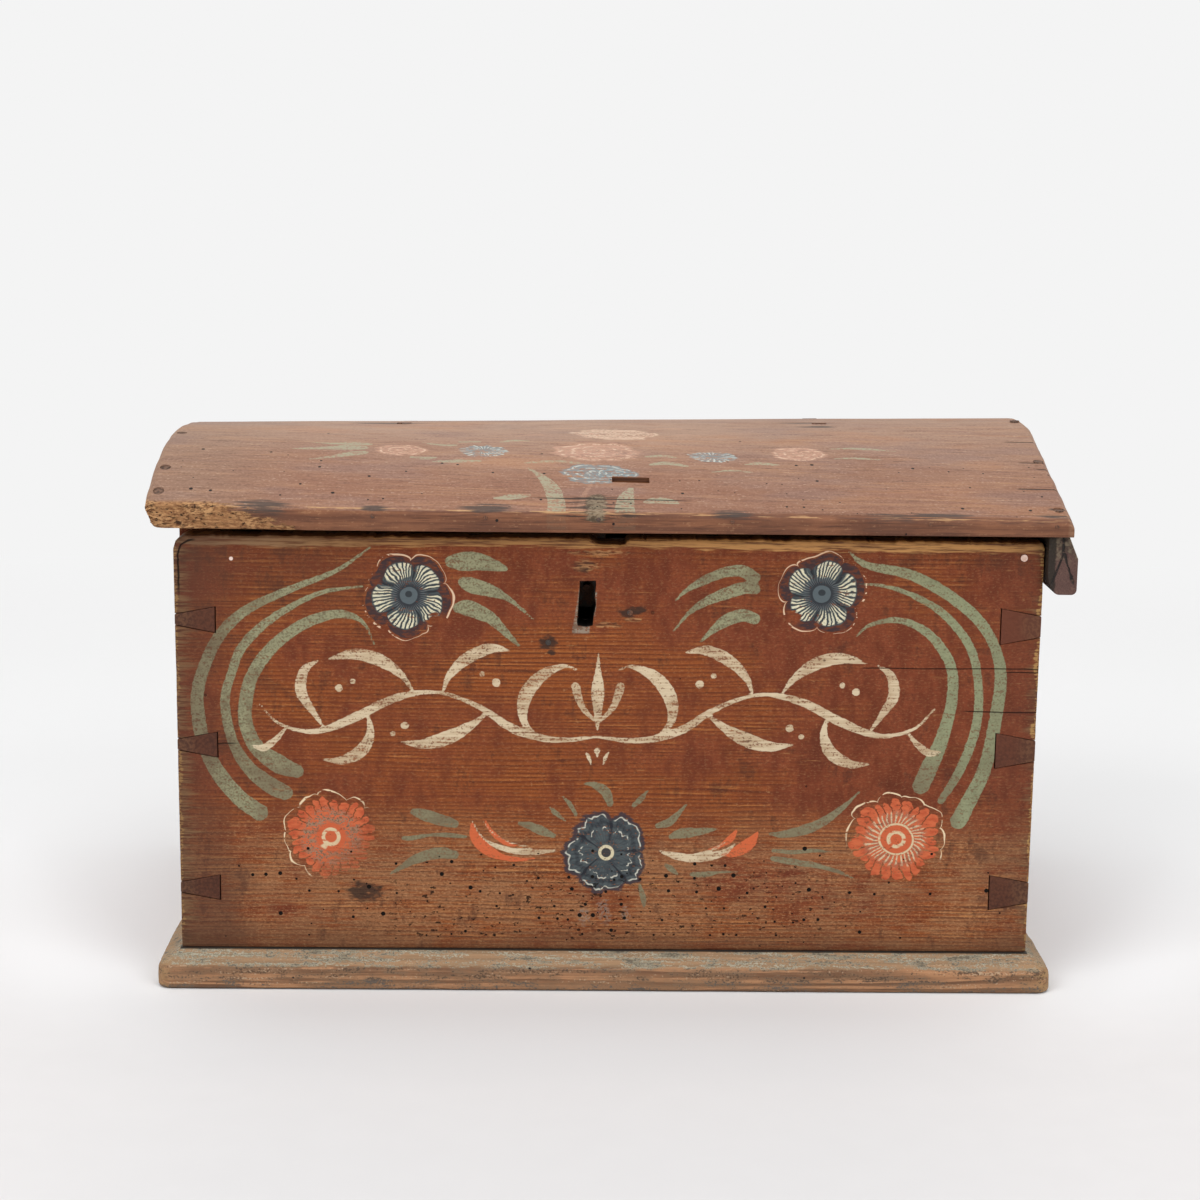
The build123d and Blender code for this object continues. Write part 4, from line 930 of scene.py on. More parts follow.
def red_board(name, grain, heart, seed):
    """Red-brown paint over pine, rubbed thin along the grain, dark at the corners and the
    foot, with drips of dirt, scuffs and a few beetle holes near the foot."""
    material, place = new_material(name)
    x, y, z = place.parts()
    late, fibre = pine(place, grain, heart, 0.0027, seed)
    long = (7, 130, 130) if grain == "x" else (130, 7, 130)
    cloud = place.noise((14, 14, 24), 4.0, seed)
    band = place.noise(long, 4.0, seed + 3, 0.6)
    dash = place.noise([part * 6 for part in long], 3.0, seed + 7, 0.6)
    drips = place.noise((80, 80, 9), 4.0, seed + 11, 0.6)
    fine = place.noise(600, 3.0, seed + 5)
    rubbed = (cloud.sway(1.8) + band.sway(2.2) + 0.44).step(0.0, 1.0)
    coats = Coats(drips.step(0.36, 0.64).blend((100, 42, 22), (124, 58, 32)))
    wood = pine_colour(late, fibre, (146, 82, 40), (116, 60, 30), 0.7, 0.5)
    coats.lay(rubbed * 0.85, wood)
    furrow = late.step(0.62, 0.92) * dash.step(0.34, 0.58) * (rubbed * 0.5 + 0.15)
    coats.lay(furrow, (70, 38, 22))
    ridge = late.step(0.3, 0.08) * dash.step(0.5, 0.64) * (rubbed * 0.4 + 0.03)
    coats.lay(ridge, (178, 118, 68))
    dirty = drips.mixed(cloud).step(0.54, 0.64)
    coats.lay(dirty * 0.45, (62, 38, 30))
    corner = (abs(x) + band.sway(0.04)).step(0.225, 0.252) * abs(y).step(0.112, 0.14)
    coats.lay(corner * 0.5, (76, 52, 38))
    foot = (z + cloud.sway(0.04)).step(0.05, 0.024)
    coats.lay(foot * 0.5, (84, 58, 42))
    crown = wall_top
    if grain == "y":
        crown = (end_crown_r**2 - y * y) ** 0.5 + end_crown_z
    top = (z - crown + dash.sway(0.012)).step(-0.006, -0.003)
    coats.lay(top * 0.8, dash.step(0.3, 0.7).blend((104, 70, 46), (156, 114, 72)))
    along = x if grain == "x" else y
    eaten = beetle_holes(along, z, 90.0, z.step(0.12, 0.04) * 0.2 + 0.012, 0.0014)
    scuff = place.noise((60, 60, 260), 4.0, seed + 9).step(0.66, 0.7)
    coats.lay(scuff * 0.5, (176, 130, 92))
    nicks = place.noise(300, 3.0, seed + 13).step(0.7, 0.73) * band.step(0.45, 0.6)
    coats.lay(nicks * 0.5, (188, 148, 108))
    if grain == "x":
        inside = (y - 0.1225).step(0.001, -0.001) * abs(x).step(0.249, 0.248)
        cut_end = abs(x).step(0.2488, 0.2496)
    else:
        inside = (abs(x) - 0.229).step(0.001, -0.001)
        cut_end = abs(y).step(0.1405, 0.1415)
    bare = pine_colour(late, fibre, (152, 112, 72), (112, 76, 46))
    bare = (band.mixed(cloud).step(0.46, 0.6) * 0.4).blend(bare, (92, 62, 42))
    coats.lay(inside, bare)
    outer = (abs(x) + cloud.sway(0.02)).step(0.236, 0.248)
    plum = cloud.mixed(fine).step(0.35, 0.65).blend((66, 38, 28), (92, 54, 38))
    plum = (x.step(0.0, 0.1) * z.step(0.1, 0.2) * 0.6).blend(plum, (108, 58, 40))
    pin = (outer * 0.35).blend(plum, fine.step(0.42, 0.6).blend((74, 54, 42), (112, 86, 62)))
    coats.lay(cut_end, pin)
    coats.lay(eaten, (26, 17, 12))
    height = late * 0.12 + fibre * 0.3 + band * 0.5 + (1 - eaten) * 0.7 + fine * 0.1
    finish_surface(material, coats.colour, fibre * 0.2 + 0.55, height, 0.0005, 0.2)
    return material


back.data.materials.append(red_board("red_back_pine", "x", (0.02, -0.3), 14.0))
end_paint = red_board("red_end_pine", "y", (0.1, -0.12), 21.0)
left_end.data.materials.append(end_paint)
right_end.data.materials.append(end_paint)


# ------------------------------------------------------------------------ lid
# The lid is one pine plank, planed to a dome above and hollowed below. It has a
# coin slot, old nail stains along its lip, faded flowers, and a worm-eaten end
# at the front left where the raw wood shows.

# Half its length and depth, the heights of its lip, then the arcs of dome and hollow, each
# by radius and middle, and the sizes of the worn ends
lid_side = 0.264
lid_edge = 0.155
lid_under = 0.272
lid_shoulder = 0.284
dome_r = 0.35168
dome_z = 0.32 - dome_r
hollow_r = 0.22876
hollow_z = 0.306 - hollow_r
hollow_half = 0.1195
end_chamfer = 0.0034
broken_length = 0.086


def section_of_lid():
    """Outline of the lid from its front shoulder over the dome and back below it, and how
    far each point counts as dome and as lip."""
    half = np.arcsin(lid_edge / dome_r)
    over = np.linspace(-half, half, 200)
    hollow = np.arcsin(hollow_half / hollow_r)
    under = np.linspace(hollow, -hollow, 40)
    parts = [
        (dome_r * np.sin(over), dome_z + dome_r * np.cos(over), 1.0, 0.0),
        (np.array([0.1549, 0.155, 0.1549]), np.array([0.2835, 0.278, 0.2725]), [1, 0.5, 0], 0.0),
        (np.array([0.1535, 0.137, 0.1215]), np.full(3, lid_under), 0.0, 0.0),
        (hollow_r * np.sin(under), hollow_z + hollow_r * np.cos(under), 0.0, 0.0),
        (np.array([-0.1215, -0.13, -0.14, -0.148, -0.1535]), np.full(5, lid_under), 0.0, 0.5),
        (np.full(14, -lid_edge), np.linspace(0.2724, 0.2837, 14), 0.0, 1.0),
    ]
    y = np.concatenate([part[0] for part in parts])
    z = np.concatenate([part[1] for part in parts])
    dome = np.concatenate([np.full(len(part[0]), part[2]) for part in parts])
    lip = np.concatenate([np.full(len(part[0]), part[3]) for part in parts])
    return y, z, dome, lip


def settle(x, y, z):
    """The lid out of true: its top moves down or up by the amount read between the left
    end's curve and the right end's, and its underside stays. Between the two, a point
    moves by its share of the height."""
    marks = np.array([-155, -145, -130, -100, -70, -40, -10, 20, 50, 155]) / 1000
    left_moves = np.array([1.6, 3.0, 3.2, 2.8, 1.2, -1.0, -4.4, -6.4, -7.4, 0]) / 1000
    right_moves = np.array([-3.2, -4.6, -6.4, -7.2, -6.2, -3.6, -0.4, 1, 1.2, 0]) / 1000
    left, right = np.interp(y, marks, left_moves), np.interp(y, marks, right_moves)
    top = dome_z + np.sqrt(dome_r**2 - np.clip(y, -lid_edge, lid_edge) ** 2)
    under = hollow_z + np.sqrt(hollow_r**2 - np.clip(y, -hollow_half, hollow_half) ** 2)
    share = np.clip((z - under) / (top - under), 0, 1.2)
    across = np.clip((x + lid_side) / (2 * lid_side), 0, 1)
    return z + share * (left + (right - left) * across)


def worn_lid():
    """The lid's outline carried along its length. The dome is planed slightly uneven, its
    ends are chamfered, its arris is worn, and the front left end is broken back."""
    ends = np.array([0.0, 0.0006, 0.0014, 0.0024, end_chamfer])
    middle = np.linspace(-0.2595, 0.2595, 300)
    x = np.concatenate([ends - lid_side, middle, (lid_side - ends)[::-1]])
    y, z, dome, lip = section_of_lid()
    xx, yy = np.meshgrid(x, y, indexing="ij")
    zz = np.meshgrid(x, z, indexing="ij")[1]
    dome, lip = np.meshgrid(x, dome, indexing="ij")[1], np.meshgrid(x, lip, indexing="ij")[1]
    near_end = np.clip(1 - (lid_side - np.abs(xx)) / end_chamfer, 0, 1)
    plane = 0.00022 * (1 + ripple(xx * 16, yy * 60, 41)) + 0.0001 * ripple(xx * 9, yy * 420, 42)
    rise = 1 + 0.35 * ripple(xx * 5, yy * 90, 43)
    down = dome * (plane + 0.0026 * near_end**1.5 * rise)
    height = (zz - lid_under) / (lid_shoulder - lid_under)
    down = down + lip * np.clip(height, 0, 1) * down[:, :1]
    # The worn arris between dome and lip, and the one below the lip
    arris = np.clip(1 - np.hypot(yy + lid_edge, zz - lid_shoulder) / 0.0022, 0, 1)
    arris = arris * (1.2 + ripple(xx * 90, yy * 9, 44) + 0.7 * ripple(xx * 400, yy * 9, 45))
    low_arris = np.clip(1 - np.hypot(yy + lid_edge, zz - lid_under) / 0.0018, 0, 1)
    back = 0.00055 * arris + 0.0006 * low_arris * (1 + ripple(xx * 70, zz * 9, 46))
    # The broken end is a slope: all of the lip at the left, and only its foot further on
    share = (xx + lid_side) / broken_length
    torn = np.clip(1.05 - share - 0.55 * height + 0.1 * ripple(xx * 90, zz * 200, 47), 0, 1)
    shaggy = 0.55 + 0.45 * ripple(xx * 110, zz * 900, 48) + 0.35 * ripple(xx * 320, zz * 1500, 49)
    front_zone = np.clip((-0.136 - yy) / 0.019, 0, 1) * np.clip((0.2895 - zz) / 0.005, 0, 1)
    torn = torn * front_zone
    back = back + torn**0.5 * (0.0028 + 0.0022 * shaggy)
    # The rounded lower left corner
    corner = np.clip(1 - (xx + lid_side) / 0.008, 0, 1) * np.clip((-0.13 - yy) / 0.02, 0, 1)
    lift = 0.0045 * corner**2 * np.clip(1 - height, 0, 1)
    xx = xx + 0.003 * corner**3 * np.clip(1 - height, 0, 1)
    # The right end, worn back a little over the front half of the dome
    over = np.clip(1 - np.abs(yy + 0.085) / 0.07, 0, 1) * np.clip((xx - 0.255) / 0.009, 0, 1)
    xx = xx - 0.0016 * over * dome
    return closed_tube(np.stack([xx, yy + back, settle(xx, yy, zz) - down + lift], axis=-1))


lid = make_piece("lid_planed", *worn_lid())
# Four pegs at the right and three stubs at the left, as shares of the half depth
peg_x, peg_radius = 0.2575, 0.0032
pegs = [(peg_x, share * lid_edge) for share in (-0.9, -0.49, 0.02, 0.53)]
pegs += [(-peg_x, share * lid_edge) for share in (-0.92, -0.76, -0.37)]
coin_slot = [(0.00125, -0.1202), (0.02275, -0.1204), (0.0228, -0.1138), (0.0012, -0.1137)]
peg_holes = [prism(circle(x, y, peg_radius), 2, 0.265, 0.33) for x, y in pegs]
cut(lid, [prism(coin_slot, 2, 0.26, 0.33)] + peg_holes)
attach(lid, "lid")
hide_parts("lid")

lid_sage = [
    [(-48, -105, 1), (-40, -116, 5), (-34, -129, 9), (-31, -144, 10), (-31, -158, 11)],
    [(12, -128, 3), (9, -138, 9), (8, -148, 11), (8, -158, 13)],
    [(-66, -142, 2), (-56, -140, 6), (-46, -138, 2)],
    [(20, -142, 3), (28, -140, 7), (38, -142, 3)],
    [(-180, -72, 1), (-166, -74, 3), (-154, -73, 6), (-143, -74, 4)],
    [(-188, -86, 1), (-168, -83, 5), (-156, -81, 9), (-146, -81, 6)],
    [(-176, -101, 1), (-164, -97, 3), (-154, -92, 6), (-145, -89, 5)],
    [(-112, -68, 1), (-101, -72, 3), (-92, -72, 3)],
    [(-117, -94, 2), (-109, -95, 4), (-102, -94, 2)],
    [(-104, -100, 2), (-90, -98, 4), (-76, -97, 2)],
    [(-90, -65, 2), (-78, -64, 3)],
    [(-66, -64, 1), (-58, -60, 4), (-48, -60, 1)],
    [(-50, -98, 1), (-40, -96, 3), (-28, -95, 3), (-16, -97, 1)],
    [(24, -96, 2), (34, -93, 5), (46, -97, 2)],
    [(22, -84, 2), (32, -82, 4), (42, -85, 1)],
    [(80, -92, 1), (90, -90, 4), (100, -92, 2)],
    [(132, -64, 1), (146, -62, 3), (160, -63, 3), (176, -66, 1)],
    [(134, -80, 1), (148, -78, 3), (166, -80, 1)],
    [(60, -104, 1), (72, -101, 2), (84, -103, 1)],
]
lid_pink = [
    [(-11, -124, 2), (-15, -136, 3), (-18, -152, 4)],
    [(-56, -50, 2), (-44, -46, 5), (-34, -48, 2)],
    [(36, -44, 2), (48, -40, 4), (60, -42, 1)],
    [(-40, -30, 1), (-28, -26, 4), (-16, -28, 2)],
    [(26, -26, 2), (38, -24, 4), (50, -27, 1)],
]
keep_strokes(lid, "sage", lid_sage, (0, 1))
keep_strokes(lid, "pink", lid_pink, (0, 1))


def faded_flower(coats, spot, frayed, size, petal, line, petals, held):
    """A faded lid flower: a wavy disc of one paint with pale petal lines inside it."""
    r, angle = spot
    lobe = petal_curve(angle, petals, 0.6)
    edge = (lobe * 0.16 + 0.84 + frayed.sway(0.45)) * size
    disc = (edge - r).step(-0.0008, 0.0012) * (held * 0.6 + held.step(0.0, 0.1) * 0.4)
    coats.lay(disc * frayed.step(0.3, 0.46) * 0.85, petal)
    for share in (0.86, 0.55, 0.25):
        crest = abs(r / size - (share - 0.12 + lobe * 0.12)).step(0.06, 0.02)
        if petals > 8:
            crest = ((angle + frayed * 0.3) * 24).sine().step(0.2, 0.8)
            crest = crest * (r / size).step(0.25, 0.45)
        coats.lay(crest * disc * frayed.step(0.44, 0.54) * 0.9, line)


material, place = new_material("painted_lid_pine")
x, y, z = place.parts()
late, fibre = pine(place, "x", (-0.05, 0.1), 0.003, seed=6.0)
cloud = place.noise((8, 30, 30), 4.0, 2.0)
fine = place.noise((600, 700, 700), 3.0, 4.0)
streak = place.noise((10, 420, 420), 4.0, 6.0, 0.6)
edges = place.noise((160, 500, 500), 3.0, 8.0)
patch = place.noise((30, 90, 90), 5.0, 12.0, 0.6)
dash = place.noise((50, 800, 800), 3.0, 16.0, 0.6)
wood = pine_colour(late, fibre, (188, 140, 96), (132, 90, 60))
# Old paint, red-brown low down, greyer and paler at the crest and toward the left end
pale = (y + cloud.sway(0.11) - abs(x + 0.06) * 0.05).step(-0.15, -0.02)
coats = Coats(pale.blend((138, 97, 76), (163, 133, 113)))
coats.lay(patch.step(0.5, 0.66) * 0.4, (130, 90, 74))
coats.lay(cloud.step(0.52, 0.66) * 0.3, (174, 120, 90))
coats.lay(x.step(0.02, 0.12) * 0.2, (124, 88, 68))
left_grey = x.step(-0.16, -0.25)
coats.lay(left_grey * 0.5, (138, 114, 96))
thin = (streak * 0.4 + dash * 0.35 + patch * 0.25).step(0.5, 0.6)
coats.lay(thin * 0.2, wood)
ridge = late.step(0.45, 0.15) * streak.mixed(patch).step(0.42, 0.54)
coats.lay(ridge * 0.12, (190, 148, 116))
furrow = streak.mixed(dash).step(0.455, 0.4)
coats.lay(furrow * 0.32, (112, 76, 62))
ochre = cloud.mixed(streak).step(0.535, 0.6)
coats.lay(ochre * 0.28, (160, 118, 84))
dusk = place.noise((12, 40, 40), 4.0, 47.0).step(0.5, 0.66)
coats.lay(dusk * 0.35, (128, 104, 98))
mottle = fine.mixed(edges, 0.4)
coats.lay(mottle.step(0.44, 0.6) * 0.12, (188, 154, 134))
scratches = place.noise((120, 1600, 1600), 2.0, 44.0).step(0.7, 0.74) * patch.step(0.42, 0.55)
coats.lay(scratches * 0.45, (206, 176, 150))
dusty = fine.mixed(dash).step(0.585, 0.63)
coats.lay(dusty * 0.34, (190, 162, 140))
grime = fine.mixed(dash, 0.6).step(0.46, 0.39)
coats.lay(grime * 0.3, (82, 56, 46))
outer = (z - (dome_r**2 - y * y) ** 0.5 - dome_z).step(-0.0106, -0.0094)
chips = (fine * 0.45 + streak * 0.3 + dash * 0.25).step(0.57, 0.49) * outer
sage = strokes(place, "sage", edges) * (chips * 0.9)
coats.lay(sage * 0.85, (162, 160, 134))
pink = strokes(place, "pink", edges) * chips
coats.lay(pink * 0.4, (186, 146, 120))
salmon, sand = (188, 146, 124), (208, 180, 156)
slate, mist = (122, 132, 134), (190, 192, 182)
flowers = [
    ((-0.008, -0.0775), 0.0275, 0.58, salmon, sand, 7),
    ((0.004, -0.041), 0.027, 0.48, sand, salmon, 6),
    ((-0.008, -0.11), 0.0215, 0.62, slate, mist, 6),
    ((-0.123, -0.083), 0.0155, 0.62, salmon, sand, 5),
    ((-0.075, -0.081), 0.0145, 0.7, slate, mist, 9),
    ((0.062, -0.081), 0.015, 0.55, slate, mist, 9),
    ((0.114, -0.0735), 0.017, 0.7, salmon, sand, 5),
    ((0.004, -0.11), 0.013, 0.62, slate, mist, 5),
]
slow = place.noise(55, 2.0, 24.0)
for centre, size, squash, petal, line, petals in flowers:
    spot = polar(x, y, centre, squash, slow)
    faded_flower(coats, spot, edges, size, petal, line, petals, chips)
# Front lip: old dark red paint under a bare broken arris
fore = (y + 0.15).step(0.001, -0.001)
lip = (z + edges.sway(0.001)).step(0.2846, 0.2832) * fore
lip_coats = Coats(streak.mixed(patch, 0.4).step(0.42, 0.6).blend((98, 60, 42), (130, 84, 58)))
lip_coats.lay(dash.step(0.44, 0.36) * 0.45, (60, 36, 28))
lip_coats.lay(dash.mixed(fine, 0.4).step(0.57, 0.63) * 0.3, (170, 126, 88))
coats.lay(lip * 0.92, lip_coats.colour)
# The arris falls a little to the right, since the lid is out of true
top_edge = z + (x + 0.02) * 0.0091
arris = abs(top_edge - 0.2838 + dash.sway(0.0012)).step(0.0008, 0.0003) * fore
broken = dash.mixed(patch, 0.35).step(0.5, 0.56)
coats.lay(arris * broken * 0.7, (192, 150, 104))
# Stains round the stubs of old nails, and round the crest where the points come through
stains = [(-0.198, -0.152, 0.015), (-0.135, -0.153, 0.007), (-0.071, -0.151, 0.013),
          (0.069, -0.152, 0.011), (0.16, -0.153, 0.014), (0.19, -0.151, 0.016),
          (0.254, -0.147, 0.01), (-0.136, -0.002, 0.022), (0.124, -0.002, 0.016),
          (0.131, -0.015, 0.01), (-0.13, 0.053, 0.014), (0.13, 0.053, 0.014),
          (peg_x, -0.139, 0.006)]
marks = [(mark_x, mark_y, long, long * 0.26) for mark_x, mark_y, long in stains]
black = blots(x, y, marks, 1.5, 0.1, streak.sway(4.0), dash.sway(4.5))
black = black * (1 - fore * (z + edges.sway(0.004)).step(0.2834, 0.2796) * 0.85)
coats.lay(black * 0.8, (60, 54, 50))
# The middle nail has left a grey-brown blotch across the arris, with dark hairs beside it
across_lip = ((z - 0.2832) / 0.0052) ** 2 * fore
rays = ((x + 0.008) / 0.026) ** 2 + ((y + 0.145) / 0.0085) ** 2 * (1 - fore) + across_lip
rays = rays.step(1.3, 0.3) * (streak * 0.45 + dash * 0.55).step(0.5, 0.44)
coats.lay(rays * 0.85, (46, 38, 34))
blotch = ((x + 0.008) / 0.0066) ** 2 + ((y + 0.145) / 0.0098) ** 2 * (1 - fore) + across_lip
blotch = (blotch + edges.sway(2.4)).step(1.2, 0.5)
rusty_grey = fine.mixed(edges).step(0.42, 0.58).blend((76, 64, 48), (134, 120, 98))
coats.lay(blotch * 0.85, rusty_grey)
bare = pine_colour(late, fibre, (152, 114, 78), (116, 82, 54), 0.35, 0.75)
bare = (patch.step(0.45, 0.62) * 0.3).blend(bare, (98, 70, 50))
coats.lay((1 - outer) * (1 - fore), bare)
# Chamfered ends, cracks, beetle holes and the torn raw wood
rim = abs(x + patch.sway(0.001)).step(0.2598, 0.262)
coats.lay(rim * streak.step(0.4, 0.62) * 0.45, (150, 118, 92))
crack = abs(y + 0.1405 + cloud.sway(0.006)).step(0.0006, 0.0001) * abs(x).step(0.05, 0.035)
for crack_y, crack_x in ((-0.078, 0.243), (-0.115, 0.236), (-0.088, 0.252), (-0.045, 0.24)):
    line = abs(y - crack_y + cloud.sway(0.004)).step(0.0008, 0.0002)
    crack = crack.most(line * x.step(crack_x, crack_x + 0.005))
band = y.step(-0.07, -0.115)
eaten = beetle_holes(x, y, 100.0, band * 0.24 + 0.015, 0.0011)
lip_holes = beetle_holes(x, z, 60.0, fore * 0.16 - 0.01) * z.step(0.2835, 0.283)
dark = crack.most(eaten * (1 - fore), lip_holes * fore)
coats.lay(dark, (30, 20, 16))
slotted = abs(x - 0.012).step(0.0112, 0.0108) * abs(y + 0.117).step(0.0037, 0.0034)
coats.lay(slotted, streak.step(0.4, 0.6).blend((74, 42, 26), (120, 72, 42)))
share = (x + lid_side) / broken_length
rise = (z - lid_under) / 0.0135
torn = (1.1 - share - rise * 0.5 + edges.sway(0.5)).step(0.02, 0.1)
torn = torn * (y + 0.1455).step(0.003, -0.002) * z.step(0.2885, 0.2862)
tunnels = place.noise((260, 700, 800), 5.0, 15.0, 0.7)
raw = Coats(tunnels.step(0.36, 0.6).blend((104, 62, 36), (202, 154, 106)))
raw.lay(slow.step(0.45, 0.6) * 0.5, (164, 116, 76))
galleries = place.noise((320, 520, 640), 4.0, 33.0, 0.6)
raw.lay(galleries.step(0.405, 0.37) * 0.9, (46, 26, 14))
tunnels = tunnels * galleries.step(0.36, 0.44)
coats.lay(torn, raw.colour)
height = late * 0.05 + fibre * 0.18 + mottle * 0.06 + (1 - dark) * 0.8 + torn * tunnels * 2.5
finish_surface(material, coats.colour, fibre * 0.2 + 0.55 + torn * 0.2, height, 0.0006, 0.28)
lid.data.materials.append(material)


# ------------------------------------------------ cleat under the lid's end
# A short upright board hangs under the lid's right overhang, held by wooden
# pegs. Its upper outer edge is planed off and its front end is cracked.
cleat = eased_copy("right_lid_cleat", 0.003)
# Only its three lower long edges are rounded: those that run along y, under the bevel
pairs = np.zeros(len(cleat.data.edges) * 2, int)
cleat.data.edges.foreach_get("vertices", pairs)
ends = points_of(cleat)[pairs.reshape(-1, 2)]
rounded = (np.abs(ends[:, 0, 1] - ends[:, 1, 1]) > 0.1) & (ends[:, :, 2].max(axis=1) < 0.25)
weights = cleat.data.attributes.new("bevel_weight_edge", "FLOAT", "EDGE")
weights.data.foreach_set("value", rounded * 1.0)
cleat.modifiers["eased"].limit_method = "WEIGHT"
cleat.modifiers["eased"].segments = 4
material, place = new_material("worn_cleat_wood")
x, y, z = place.parts()
late, fibre = pine(place, "y", (0.19, 0.2), 0.0028, seed=31.0)
cloud = place.noise((60, 30, 60), 4.0, 5.0)
rough = place.noise(240, 4.0, 11.0, 0.6)
paint = cloud.mixed(fibre, 0.6).step(0.36, 0.64).blend((70, 46, 40), (94, 68, 61))
# The cleat's front part is darker and greyer toward its top, mottled
grey = (z + rough.sway(0.03)).step(0.255, 0.266)
darker_top = grey * (y + rough.sway(0.03)).step(-0.105, -0.13) * 0.75
darker_top_colour = rough.step(0.42, 0.58).blend((52, 42, 32), (112, 100, 80))
coats = Coats(paint)
coats.lay(darker_top, darker_top_colour)
# Painted shadow: the inner side of the cleat, with the inner facet of its front end, is coloured
# near black
inner = (x + rough.sway(0.003)).step(0.256, 0.2545)
coats.lay(inner * 0.92, (32, 25, 16))
lean = x - 0.2597 + rough.sway(0.0022)
legs = abs(lean) * 2.9 + (z - 0.2625)
crack = abs(legs + rough.sway(0.006)).step(0.0026, 0.0006) * z.step(0.2425, 0.246)
crack = crack.most(abs(lean + 0.0005).step(0.0011, 0.0003) * z.step(0.259, 0.262))
crack = crack * (y + rough.sway(0.01)).step(-0.118, -0.135)
coats.lay(crack, (24, 16, 12))
worn = place.noise((420, 40, 420), 4.0, 9.0).step(0.58, 0.68)
coats.lay(worn * (1 - inner) * 0.3, (128, 98, 82))
height = late * 0.2 + fibre * 0.4 + (1 - crack) * 1.2
finish_surface(material, coats.colour, fibre * 0.2 + 0.6, height, 0.0007)
cleat.data.materials.append(material)


# ----------------------------------------------------------------- wood pegs
# Whittled pegs hold the cleat, and three broken stubs are left of the other
# one. A pale peg pins the front board's upper right tail.
def settled_copy(node):
    """A copy of a frame piece that has moved with the warped lid. What comes through the
    lid is pressed down to its top, and the stubs' tops end a little below it."""
    piece = copy_of(node, "_settled")
    places = points_of(piece)
    x, y, z = places.T
    dome = dome_z + np.sqrt(dome_r**2 - y**2)
    pressed = np.where(np.abs(x) < 0.2, np.minimum(z, dome + 0.0004), z)
    pressed = np.where((x < -0.25) & (z > dome - 0.006), dome - 0.0006, pressed)
    places[:, 2] = settle(x, y, pressed)
    piece.data.vertices.foreach_set("co", places.ravel())
    piece.data.update()
    smooth_faces(piece)
    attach(piece, "lid")
    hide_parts(node)
    return piece


def wear(node, material):
    """Give a frame piece its material in place of the plain one."""
    slots = frame["nodes"][node].data.materials
    slots.clear()
    slots.append(material)


material, place = new_material("peg_end_grain")
grain = place.noise((500, 900, 60), 3.0, 2.0)
coats = Coats(grain.step(0.35, 0.65).blend((126, 96, 78), (74, 54, 44)))
grime = place.noise(220, 3.0, 4.0).step(0.5, 0.7)
coats.lay(grime * 0.6, (54, 42, 36))
finish_surface(material, coats.colour, grain * 0.2 + 0.65, grain, 0.0004)
for node in ("cleat_pegs", "left_peg_stubs"):
    settled_copy(node).data.materials.append(material)

material, place = new_material("pale_peg_end")
grain = place.noise((900, 200, 900), 3.0, 2.0)
colour = grain.step(0.35, 0.65).blend((238, 210, 196), (212, 176, 158))
finish_surface(material, colour, grain * 0.2 + 0.6, grain, 0.0003)
wear("corner_peg", material)


# ------------------------------------------------------ hinges, lock, nails
# Hinges, lock and nails are wrought iron: dark, hammered and rusty in patches.
# Nails were driven from inside and bent over, or set from the back.
def old_iron(name, rusty, seed):
    """Dark hammered iron, rusty where a slow noise is high."""
    material, place = new_material(name)
    dent = place.noise(160, 2.0, seed)
    patch = place.noise(90, 4.0, seed + 4, 0.65)
    grit = place.noise(1500, 2.0, seed + 8)
    rust = (patch + rusty).step(0.48, 0.66)
    steel = grit.blend((58, 54, 52), (84, 78, 74))
    orange = grit.step(0.4, 0.6).blend((86, 54, 38), (122, 76, 50))
    colour = (rust * 0.8).blend(steel, orange)
    finish_surface(material, colour, rust * 0.35 + 0.42, dent * 0.8 + grit * 0.25, 0.0006)
    metal = (1 - rust) * 0.75
    shader = material.node_tree.nodes["Principled BSDF"]
    material.node_tree.links.new(metal.socket, shader.inputs["Metallic"])
    return material


hinge_iron = old_iron("hinge_iron", 0.02, 3.0)
lock_iron = old_iron("lock_iron", 0.06, 13.0)
nail_iron = old_iron("nail_iron", 0.12, 23.0)
for node in ("left_lid_strap", "right_lid_strap", "left_body_leaf", "right_body_leaf"):
    eased_copy(node, 0.0003).data.materials.append(hinge_iron)
for node in ("lock_plate", "lid_staple", "lock_bolt", "bolt_guides", "key_cover"):
    eased_copy(node, 0.0003).data.materials.append(lock_iron)
for node in ("left_hinge_pin", "right_hinge_pin", "bolt_spring"):
    wear(node, hinge_iron)
wear("key_pin", old_iron("key_pin_iron", 0.2, 33.0))
for node in ("lip_nails", "strap_nails"):
    settled_copy(node).data.materials.append(nail_iron)
for node in ("bottom_nails", "leaf_nails", "lock_nails"):
    wear(node, nail_iron)


# ---------------------------------------------------- floor, light and camera
# A pale sheet runs from the floor up behind the box, under soft studio light.
# The camera stands a little left of the middle and looks slightly down.
def backdrop():
    """A sheet: flat floor, a quarter circle, then an upright wall, carried across."""
    near_edge, bend_start, bend, height, half_width = -9.0, 2.0, 1.6, 6.0, 30
    turn = np.linspace(0, np.pi / 2, 24)
    y = np.concatenate([[near_edge], bend_start + bend * np.sin(turn), [bend_start + bend]])
    z = np.concatenate([[0.0], bend - bend * np.cos(turn), [height]])
    x = np.linspace(-half_width, half_width, 3)
    xx, yy = np.meshgrid(x, y, indexing="ij")
    zz = np.meshgrid(x, z, indexing="ij")[1] - 0.0002
    numbers = np.arange(xx.size).reshape(xx.shape)
    squares = np.stack([numbers[:-1, :-1], numbers[1:, :-1], numbers[1:, 1:], numbers[:-1, 1:]], -1)
    return np.stack([xx, yy, zz], -1).reshape(-1, 3), squares.reshape(-1, 4).tolist()


def seen_rays(shade):
    """1 for every ray by which the camera sees something, straight or mirrored."""
    kinds = ("Camera", "Glossy", "Transmission")
    rays = [shade.node("LightPath", {}, {}, "Is %s Ray" % kind) for kind in kinds]
    return rays[0].most(*rays[1:])


